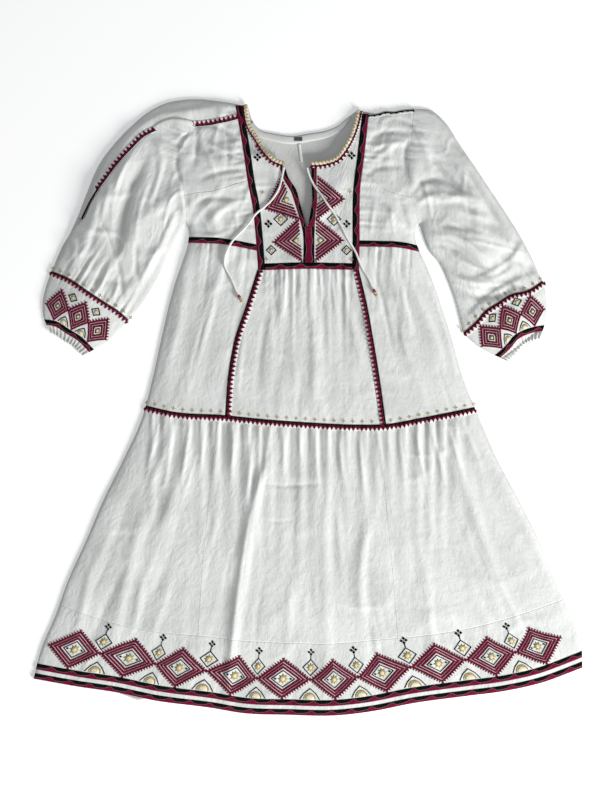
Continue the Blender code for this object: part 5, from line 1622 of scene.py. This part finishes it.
# %% Bars and filled shapes on the cloth
def bar_shell(points, width, place, closed=True, lift=0.35, crown=0.55, step=2.6):
    """A satin bar along straight lines from corner to corner, its corners mitred."""
    corners = np.array(points, float)
    if closed:
        corners = np.vstack([corners, corners[:1]])
    way = np.diff(corners, axis=0)
    size = np.linalg.norm(way, axis=1)
    normal = np.stack([-way[:, 1], way[:, 0]], axis=1) / size[:, None]
    first = normal[-1] if closed else normal[0]
    last = normal[0] if closed else normal[-1]
    before, after = np.vstack([first, normal]), np.vstack([normal, last])
    mitre = (before + after) / np.maximum(1 + np.sum(before * after, axis=1), 0.35)[:, None]
    spine, spread, run = [], [], []
    done = 0.0
    for k, length in enumerate(size):
        count = ruler(length, step)
        for n in range(count):
            spine.append(corners[k] + way[k] * n / count)
            spread.append(mitre[k] if n == 0 else normal[k])
            run.append(done + length * n / count)
        done += length
    spine, spread = np.array([*spine, corners[-1]]), np.array([*spread, mitre[-1]])
    run = np.array([*run, done])
    share = np.array([1, 0, -1])[:, None]
    grid = place(spine[None] + share[..., None] * width / 2 * spread[None])
    top = skin(grid) + lift + crown * np.array([0.25, 1, 0.25])[:, None]
    uv = np.stack(np.broadcast_arrays(run[None, :], share * width / 2), axis=-1).reshape(-1, 2) * MM
    return shell_of(grid, top, 0.7, uv)


def filled_shell(points, place, lift=0.3, crown=0.7):
    """A filled satin shape round its middle, a little domed."""
    ring = np.array(points, float)
    middle = ring.mean(axis=0)
    if np.cross(ring[0] - middle, ring[1] - middle) < 0:
        ring = ring[::-1]
    design = np.vstack([ring, middle + (ring - middle) * 0.55, middle])
    xy = place(design)
    if np.cross(xy[0] - xy[-1], xy[1] - xy[-1]) < 0:
        design = np.vstack([ring[::-1], middle + (ring[::-1] - middle) * 0.55, middle])
        xy = place(design)
    count = len(ring)
    rise = np.concatenate([np.full(count, 0.1), np.full(count, 0.85), [1.0]]) * crown
    top = np.column_stack([xy, skin(xy) + lift + rise])
    low = top[:count] - (0, 0, 0.6)
    places = np.vstack([top, low])
    base = 2 * count + 1
    faces = []
    for k in range(count):
        n = (k + 1) % count
        faces += [[k, n, count + n, count + k], [count + k, count + n, 2 * count], [k, base + k, base + n, n]]
    faces.append([base + k for k in range(count)][::-1])
    return places, faces, np.vstack([design, design[:count]]) * MM


def star(centre, outer, inner, points=8):
    """The corners of a star."""
    angle = np.linspace(0, TURN, 2 * points, endpoint=False)
    radius = np.where(np.arange(2 * points) % 2 == 0, outer, inner)
    return np.column_stack([centre[0] + radius * np.cos(angle), centre[1] + radius * np.sin(angle)])


def lozenge(centre, half_width, half_height):
    x, y = centre
    return [(x - half_width, y), (x, y + half_height), (x + half_width, y), (x, y - half_height)]


def half_disc(centre, radius, count=9):
    angle = np.linspace(0, math.pi, count)
    return np.column_stack([centre[0] + radius * np.cos(angle), centre[1] + radius * np.sin(angle)])


# %% Threads in hand: shapes gathered by colour
class Needlework:
    """Stitched shapes of one place, gathered by colour and made as one piece for each."""

    COLOURS = {"crimson": crimson_thread, "black": black_thread, "gold": gold_thread, "cream": cream_thread}

    def __init__(self, name, place):
        self.name = name
        self.place = place
        self.shells = {colour: [] for colour in self.COLOURS}
        self.teeth = []

    def bar(self, colour, points, width, closed=True):
        self.shells[colour].append(bar_shell(points, width, self.place, closed))

    def fill(self, colour, points, crown=0.7):
        self.shells[colour].append(filled_shell(points, self.place, crown=crown))

    def edge(self, points):
        """A trail for saw teeth, which point to the left of its way."""
        points = np.array(points, float)
        dense = [a + (b - a) * n / 12 for a, b in zip(points[:-1], points[1:]) for n in range(12)]
        self.teeth.append(self.place(np.array([*dense, points[-1]])))

    def sew(self, slot="cotton"):
        for colour, shells in self.shells.items():
            if shells:
                joined(f"{self.name}_{colour}", shells, self.COLOURS[colour], slot, [])
        if self.teeth:
            row_of(f"{self.name}_teeth", self.teeth, TOOTH, 5.2, crimson_thread, slot, size=0.8, lift=0.5)


# %% One motif: nested lozenges round a star
OUTLINE_WIDTH = 1.9  # of the black lines


def nested(work, centre, half_width, half_height, lines=3, pitch=4.9, width=3.9, star_size=10.0, sides=4):
    """Lozenges of crimson bars, one in another, with teeth outside and a star in the middle."""
    x, y = centre
    slope = math.hypot(half_width, half_height) / (half_width * half_height)
    for k in range(lines):
        shrink = 1 - k * pitch * slope
        work.bar("crimson", lozenge(centre, half_width * shrink, half_height * shrink), width)
    grow = 1 + 0.4 * width * slope
    left, top, right, bottom = lozenge(centre, half_width * grow, half_height * grow)
    for start, end in ((left, top), (top, right), (right, bottom), (bottom, left))[:sides]:
        work.edge([start, end])
    inner = 1 - (lines + 0.05) * pitch * slope
    work.bar("black", lozenge(centre, half_width * inner, half_height * inner), OUTLINE_WIDTH)
    work.fill("gold", star(centre, star_size, star_size * 0.6))
    work.fill("cream", star(centre, star_size * 0.58, star_size * 0.45), 1.1)
    for sign in (-1, 1):
        work.fill("black", lozenge((x + sign * star_size * 1.45, y), star_size * 0.3, star_size * 0.22))


def half_sun(work, foot, radius):
    """A cream half disc in a gold ring, under a black roof."""
    x, y = foot
    work.fill("cream", half_disc(foot, radius * 0.72))
    work.bar("gold", half_disc(foot, radius * 0.86), radius * 0.2, closed=False)
    roof = [(x - radius * 1.5, y), (x - radius * 0.9, y + radius * 0.85), (x, y + radius * 1.55),
            (x + radius * 0.9, y + radius * 0.85), (x + radius * 1.5, y)]
    work.bar("black", roof, OUTLINE_WIDTH, closed=False)


def framed_star(work, centre, size):
    """A gold star in a black lozenge."""
    work.fill("gold", star(centre, size * 0.6, size * 0.36))
    work.fill("cream", star(centre, size * 0.33, size * 0.25), 1.1)
    work.bar("black", lozenge(centre, size * 1.05, size), OUTLINE_WIDTH)


# %% Hem border
hem_cut = cut(hem, side_left, side_right)
HEM_MOTIFS = 10
motif = long_of(hem_cut) / HEM_MOTIFS
RIBBON_TOP = HEM_GAP + HEM_RIBBON
# how far the parts of the border lie above the ribbons
LOZENGE_AT, SUN_AT, STAR_AT, STEM_FOOT, STEM_HEAD, FLOWER_AT = 38.5, 1.5, 61.0, 76.0, 83.0, 90.0
ONE_ONLY = 50.0  # a pitch longer than the trail, so that it carries one copy


def on_hem(points):
    """Along the hem and up from it, drawn in with the slanting sides."""
    points = np.asarray(points, float)
    whole = long_of(hem_cut)
    inset = 2.5 + 0.2 * np.clip(points[..., 1], 0, None)
    return along(hem_cut, inset + points[..., 0] * (1 - 2 * inset / whole), points[..., 1])


hem_work = Needlework("hem_border", on_hem)
for k in range(HEM_MOTIFS):
    nested(hem_work, ((k + 0.5) * motif, RIBBON_TOP + LOZENGE_AT), motif / 2 - 4.5, 34.0)
for k in range(1, HEM_MOTIFS):
    x = k * motif
    half_sun(hem_work, (x, RIBBON_TOP + SUN_AT), 13.0)
    framed_star(hem_work, (x, RIBBON_TOP + STAR_AT), 15.0)
    stem = [(x, RIBBON_TOP + STEM_FOOT), (x, RIBBON_TOP + STEM_HEAD)]
    hem_work.bar("black", stem, OUTLINE_WIDTH, closed=False)
hem_work.sew()
flower_spots = [on_hem([(k * motif, RIBBON_TOP + FLOWER_AT), (k * motif + 2.0, RIBBON_TOP + FLOWER_AT)])
                for k in range(1, HEM_MOTIFS)]
row_of("hem_flowers", flower_spots, FLOWER, ONE_ONLY, black_thread, "cotton", size=0.9, lift=0.4)

# %% Bib embroidery
BIB_SIGNS = {"left": -1, "right": 1}
BIB_PARTS = ((276.0, 350.0, 47.0), (354.0, 428.0, 47.0))  # foot and head on the placket, and the apex's reach


def half_nested(work, foot, head, reach, sign, lines=4, pitch=4.8, width=3.8):
    """Half lozenges of crimson bars that stand on the line from foot to head."""
    foot, head = np.array(foot), np.array(head)
    middle = (foot + head) / 2
    along_it = head - foot
    out = np.array([along_it[1], -along_it[0]]) / np.linalg.norm(along_it) * sign
    apex = middle + out * reach
    corners = np.array([foot, apex, head])
    half = np.linalg.norm(along_it) / 2
    slope = math.hypot(half, reach) / (half * reach)

    def shrunk(amount):
        return middle + (corners - middle) * (1 - amount * slope)

    for k in range(lines):
        work.bar("crimson", shrunk(k * pitch), width, closed=False)
    edge = shrunk(-0.4 * width)
    work.edge(edge if sign < 0 else edge[::-1])
    work.bar("black", shrunk((lines + 0.05) * pitch), OUTLINE_WIDTH, closed=False)
    centre = middle + out * 8.0
    work.fill("gold", star(centre, 7.0, 4.3))
    work.fill("cream", star(centre, 4.2, 3.2), 1.1)


for side, sign in BIB_SIGNS.items():
    work = Needlework(f"bib_border_{side}", np.array)
    edge = line(f"placket_{side}")[::-1]
    order = np.argsort(edge[:, 1])

    def beside_placket(y, edge=edge[order], sign=sign):
        return float(np.interp(y, edge[:, 1], edge[:, 0])) + sign * 2.4, y

    for low, high, reach in BIB_PARTS:
        half_nested(work, beside_placket(low), beside_placket(high), reach, sign)
    x, y = beside_placket(352.0)
    framed_star(work, (x + sign * 33.0, y), 12.0)
    x, y = beside_placket(289.0)
    framed_star(work, (x + sign * 58.0, y + 5.0), 8.5)
    work.sew()

# %% Flowers and small crosses on the bib
def spots(pixels):
    """A trail one pixel long at each of these pixels, for one copy of a shape."""
    return [[seen_at(x, y), seen_at(x + 1, y)] for x, y in pixels]


# in pixels of the picture
bib_flowers = [(257.6, 157.8), (268.5, 224.0), (351.7, 156.0), (346.5, 224.0)]
row_of("bib_flowers", spots(bib_flowers), FLOWER, ONE_ONLY, black_thread, "cotton", lift=0.4)
bib_crosses = [(262.5, 192.5), (350.0, 192.0), (266.5, 259.5), (351.5, 259.5)]
row_of("bib_small_crosses", spots(bib_crosses), SMALL_CROSS, ONE_ONLY, gold_thread, "cotton", size=1.8,
       lift=0.4)

# %% Cuff borders
CUFF_MOTIFS = 3
for side in CUFF_EDGES:
    base = cut(line(f"cuff_end_{side}"), line(CUFF_EDGES[side][0]), line(CUFF_EDGES[side][1]))
    top = cuff_cuts[side]
    length = (long_of(base) + long_of(top)) / 2

    def on_cuff(points, base=base, top=top, length=length):
        points = np.asarray(points, float)
        share = np.clip(points[..., 0] / length, 0, 1)
        low, high = (
            np.stack([np.interp(share * long_of(c), travelled(c), c[:, k]) for k in (0, 1)], axis=-1)
            for c in (base, top)
        )
        way = high - low
        return low + points[..., 1:] * way / np.linalg.norm(way, axis=-1, keepdims=True)

    work = Needlework(f"cuff_border_{side}", on_cuff)
    part = length / CUFF_MOTIFS
    for k in range(CUFF_MOTIFS):
        nested(work, ((k + 0.5) * part, 29.0), part / 2 - 1.0, 27.0,
               pitch=4.6, width=3.6, star_size=5.5, sides=2)
    for k in range(1, CUFF_MOTIFS):
        half_sun(work, (k * part, 2.0), 9.0)
        framed_star(work, (k * part, 54.0), 8.0)
    work.sew()

# %% The fold over the left sleeve's trim
def covering_fold(name, crest, depth=24.0, rise=2.2, step=2.6):
    """A fold of cotton whose upper edge lies over a trim and that sinks into the cloth below it."""
    share = np.linspace(0, 1, ruler(long_of(crest), step) + 1)
    taper = np.clip(np.minimum(share, 1 - share) / 0.22, 0, 1)
    taper = taper * taper * (3 - 2 * taper)
    v = np.linspace(0, 1, 13)[:, None]
    upper = stretch(crest, 0, long_of(crest), share)
    down = stretch(beside(crest, -depth), 0, long_of(beside(crest, -depth)), share) - upper
    grid = upper[None] + v[..., None] * (down * (0.45 + 0.55 * taper)[:, None])[None]
    over = 0.8 * (1 - v) + rise * np.sin(math.pi * np.sqrt(v)) * (1 - 0.3 * v)
    top = skin(grid) + over * taper - 0.35 * np.maximum(v, 1 - taper)
    return shell(name, grid, top, 0.5, cotton, "cotton", (), cloth_map(grid))


# in pixels of the picture
COVERING_CREST = [
    (148, 129), (154, 125.5), (160, 122), (167, 119), (175, 118), (184, 119), (192, 120.5), (201, 121),
]
covering_fold("sleeve_covering_fold", smooth([seen_at(*p) for p in COVERING_CREST]))

# %% [markdown]
# ## Stitches
# Running stitches in white thread show along the lower tier's two front seams and the bust seams.

# %% Running stitches
low_seams = [cut(line(f"low_seam_{side}"), beside(tier, -SAW_BAND), hem_stitch) for side in ("left", "right")]
bust_seams = [cut(bust_left, side_line("left"), band_left),
              cut(bust_right, band_right, side_line("right"))]
stitch_lines = [beside(s, -1.2) for s in low_seams]
stitch_lines += [beside(s, -1.8) for s in bust_seams]
row_of("seam_stitches", stitch_lines, RUNNING_STITCH, 3.4, white_thread, "cotton", lift=0.15, uneven=0.1)

# %% [markdown]
# ## The ties
# Two rouleau ties, narrow tubes of the dress's own cotton turned inside out, start at the corners
# of the neckline and lie over the bodice. Each ends in a crimson bead and a small metal tip. They
# are limp cords, so each follows the cloth under it in one smooth curve.

# %% Routes of the ties, in metres
TIES = {
    "left": [
        (-0.045, 0.449), (-0.048, 0.433), (-0.055, 0.407), (-0.065, 0.391), (-0.080, 0.376),
        (-0.097, 0.362), (-0.112, 0.342), (-0.125, 0.328), (-0.140, 0.312), (-0.150, 0.295),
        (-0.155, 0.281), (-0.156, 0.268), (-0.152, 0.257), (-0.144, 0.242), (-0.137, 0.226),
        (-0.130, 0.210),
    ],
    "right": [
        (-0.002, 0.448), (0.003, 0.432), (0.012, 0.414), (0.024, 0.398), (0.036, 0.380),
        (0.048, 0.364), (0.060, 0.343), (0.071, 0.321), (0.089, 0.290), (0.102, 0.259),
        (0.114, 0.240), (0.122, 0.221),
    ],
}
TIE_DIAMETER = 4.0
BEAD_LENGTH, BEAD_DIAMETER = 7.0, 6.4
TIP_LENGTH, TIP_DIAMETER = 7.6, 5.4


def resting_height(place, reach=3.0):
    """The highest cloth within reach of each place."""
    around = [read(height_map, place)]
    for angle in np.linspace(0, TURN, 9)[:-1]:
        around.append(read(height_map, place + reach * np.array([math.cos(angle), math.sin(angle)])))
    return np.max(around, axis=0)


def evened(values, width):
    """The values with each one averaged over its neighbours."""
    weight = np.hanning(2 * width + 3)[1:-1]
    padded = np.pad(values, width, mode="edge")
    return np.convolve(padded, weight / weight.sum(), mode="valid")


def turned_piece(name, profile, start, way, finish, slot, node, sides=20):
    """A round piece: the profile's (distance along the way, radius) pairs turned round the way."""
    way = np.array(way) / np.linalg.norm(way)
    side = np.cross(way, (0, 0, 1))
    side /= np.linalg.norm(side)
    third = np.cross(side, way)
    angle = np.linspace(0, TURN, sides, endpoint=False)
    ring = np.cos(angle)[:, None] * side + np.sin(angle)[:, None] * third
    places = [start + profile[0][0] * way]
    uv = [(0, 0)]
    for distance, radius in profile[1:-1]:
        places += list(start + distance * way + radius * ring)
        uv += [(a * radius * MM, distance * MM) for a in angle]
    places.append(start + profile[-1][0] * way)
    uv.append((0, profile[-1][0] * MM))
    faces = [[0, 1 + k, 1 + (k + 1) % sides] for k in range(sides)]
    for r in range(len(profile) - 3):
        a, b = 1 + r * sides, 1 + (r + 1) * sides
        faces += [[a + k, b + k, b + (k + 1) % sides, a + (k + 1) % sides] for k in range(sides)]
    last = len(places) - 1
    a = last - sides
    faces += [[a + k, last, a + (k + 1) % sides] for k in range(sides)]
    return piece_of(name, places, faces, uv, finish, slot, [node])


# %% Bead and tip finishes
glass = Finish("bead_finish", Roughness=0.22, Coat_Weight=0.6, Coat_Roughness=0.08)
uv, u, v = glass.across()
swirl = glass.noise(glass.stretched(uv, (260, 500, 1)), 1.0, 3.0)
bead_finish = glass.wear(glass.mixed(swirl.between(0.35, 0.65), (0.17, 0.004, 0.022), (0.36, 0.012, 0.05)))
brass = Finish("tip_finish", Metallic=1.0, Roughness=0.3)
uv, u, v = brass.across()
scuff = brass.noise(brass.stretched(uv, (900, 300, 1)), 1.0, 3.0)
tip_colour = brass.mixed(scuff.between(0.3, 0.7), (0.50, 0.34, 0.11), (0.72, 0.54, 0.24))
tip_finish = brass.wear(tip_colour, scuff, 0.0001, 0.5)

# %% The ties, their beads and tips
TIE_SIDES = 12
for side, route in TIES.items():
    path = smooth(np.array(route) / MM, 2.0)
    high = evened(np.maximum.reduce([np.roll(resting_height(path), k) for k in (-1, 0, 1)]), 3)
    centre = np.column_stack([path, high + TIE_DIAMETER / 2 + 0.6])
    way = np.gradient(centre, axis=0)
    way /= np.linalg.norm(way, axis=1, keepdims=True)
    level = np.cross(way, (0, 0, 1))
    level /= np.linalg.norm(level, axis=1, keepdims=True)
    third = np.cross(level, way)
    angle = np.linspace(0, TURN, TIE_SIDES, endpoint=False)
    run = travelled(centre)
    plump = 1 + 0.03 * np.sin(run / 3.1) + 0.03 * np.sin(run / 7.7 + 1)
    ring = np.cos(angle)[None, :, None] * level[:, None] + np.sin(angle)[None, :, None] * third[:, None]
    skin_points = centre[:, None] + TIE_DIAMETER / 2 * plump[:, None, None] * ring
    count = len(centre)
    places = np.vstack([skin_points.reshape(-1, 3), centre[:1], centre[-1:]])
    i, k = np.meshgrid(np.arange(count - 1), np.arange(TIE_SIDES), indexing="ij")
    a, b = (i * TIE_SIDES + k).ravel(), (i * TIE_SIDES + (k + 1) % TIE_SIDES).ravel()
    faces = np.stack([a, a + TIE_SIDES, b + TIE_SIDES, b], axis=1).tolist()
    first, last, end = count * TIE_SIDES, count * TIE_SIDES + 1, (count - 1) * TIE_SIDES
    faces += [[first, k, (k + 1) % TIE_SIDES] for k in range(TIE_SIDES)]
    faces += [[last, end + (k + 1) % TIE_SIDES, end + k] for k in range(TIE_SIDES)]
    uv = np.stack(np.broadcast_arrays(run[:, None], angle[None] * TIE_DIAMETER / 2), axis=-1)
    uv = uv.reshape(-1, 2) * MM
    uv = np.vstack([uv, uv[:1], uv[-1:]])
    cord = piece_of(f"tie_{side}_cord", places, faces, uv, cord_cotton, "cord", [f"tie_{side}"])
    flat_way = way[-1] * (1, 1, 0)
    flat_way /= np.linalg.norm(flat_way)
    bead_start = centre[-1] + (0, 0, (BEAD_DIAMETER - TIE_DIAMETER) / 2) + flat_way * 0.3
    half = BEAD_DIAMETER / 2
    bead_profile = [(0, 0), (0, 1.5), (0.3, 1.9), (0.9, 0.78 * half), (2.0, 0.95 * half), (3.5, half),
                    (5.0, 0.95 * half), (6.1, 0.78 * half), (6.7, 1.9), (7.0, 1.5), (7.0, 0)]
    bead = turned_piece(f"tie_{side}_round_bead", bead_profile, bead_start, flat_way, bead_finish, "bead",
                        f"tie_{side}_bead")
    tip_start = bead_start + flat_way * (BEAD_LENGTH + 0.3)
    half = TIP_DIAMETER / 2
    shape = [(0, 0), (0, 0.8), (0.06, 1), (0.16, 1), (0.2, 0.82), (0.26, 0.82), (0.3, 0.96), (0.4, 0.93),
             (0.86, 0.66), (0.96, 0.5), (1, 0.25), (1, 0)]
    tip_profile = [(share * TIP_LENGTH, part * half) for share, part in shape]
    tip = turned_piece(f"tie_{side}_metal_tip", tip_profile, tip_start, flat_way, tip_finish, "tip",
                       f"tie_{side}_tip")
    long_of(centre) * MM
    print(f"tie {side}:", round(long_of(centre)), "mm")

# %% [markdown]
# ## The floor
# The picture is a cut-out on white, so the floor is plain and pale.

# %% Floor
FAR = 18  # metres from the middle to the floor's edge
FLOOR_TOP = -0.0005  # metres, just under the cloth
floor_corners = [(x, y, FLOOR_TOP) for x, y in ((-FAR, -FAR), (FAR, -FAR), (FAR, FAR), (-FAR, FAR))]
floor_mesh = bpy.data.meshes.new("floor")
floor_mesh.from_pydata(floor_corners, [], [[0, 1, 2, 3]])
floor = bpy.data.objects.new("floor", floor_mesh)
bpy.context.scene.collection.objects.link(floor)
floor_finish = Finish("floor_finish", Roughness=0.9, Base_Color=(0.93, 0.93, 0.93, 1),
                      Emission_Color=(1, 1, 1, 1), Emission_Strength=0.22)
floor_mesh.materials.append(floor_finish.material)

# %% [markdown]
# ## Cloth as cut
# Each piece of cloth is listed with the size it was cut to before it was sewn, and that area is printed
# beside the made piece's area.

# %% Sheets
Cut = namedtuple("Cut", "width length filled")  # filled is the share of the rectangle that is cloth
CUTS = {
    "bib_cloth_left": Cut(0.085, 0.205, 0.85),
    "bib_cloth_right": Cut(0.100, 0.195, 0.80),
    "shoulder_cloth_left": Cut(0.125, 0.150, 0.80),
    "shoulder_cloth_right": Cut(0.100, 0.150, 0.85),
    "bust_cloth_left": Cut(0.145, 0.105, 0.85),
    "bust_cloth_right": Cut(0.120, 0.115, 0.85),
    "back_cloth": Cut(0.450, 0.260, 0.90),
    "sleeve_left_cloth": Cut(0.460, 0.340, 0.90),
    "sleeve_right_cloth": Cut(0.460, 0.340, 0.90),
    "cuff_left_cloth": Cut(0.340, 0.095, 1.0),
    "cuff_right_cloth": Cut(0.340, 0.095, 1.0),
    "cuff_left_frill": Cut(0.150, 0.0145, 1.0),
    "cuff_right_frill": Cut(0.150, 0.0145, 1.0),
    "upper_tier_left": Cut(0.190, 0.320, 1.0),
    "upper_tier_centre": Cut(0.320, 0.300, 1.0),
    "upper_tier_right": Cut(0.200, 0.320, 1.0),
    "upper_tier_back": Cut(0.630, 0.320, 1.0),
    "lower_tier": Cut(2.000, 0.410, 1.0),
    "hem_band": Cut(2.060, 0.135, 1.0),
    "neck_facing": Cut(0.200, 0.016, 1.0),
}


def cloth_area(piece):
    """The area of one face of a closed shell, in square metres."""
    return sum(face.area for face in piece.data.polygons) / 2


for name, piece_cut in CUTS.items():
    area = piece_cut.width * piece_cut.length * piece_cut.filled
    print(f"{name}: cut {area:.4f}, made {cloth_area(pieces[name]):.4f} square metres")

# %% [markdown]
# ## Sizes and the end
# The count of triangles in all the pieces is printed.

# %% Count the triangles
bpy.context.view_layer.update()
print("triangles:", sum(len(piece.data.loop_triangles) for piece in pieces.values()))
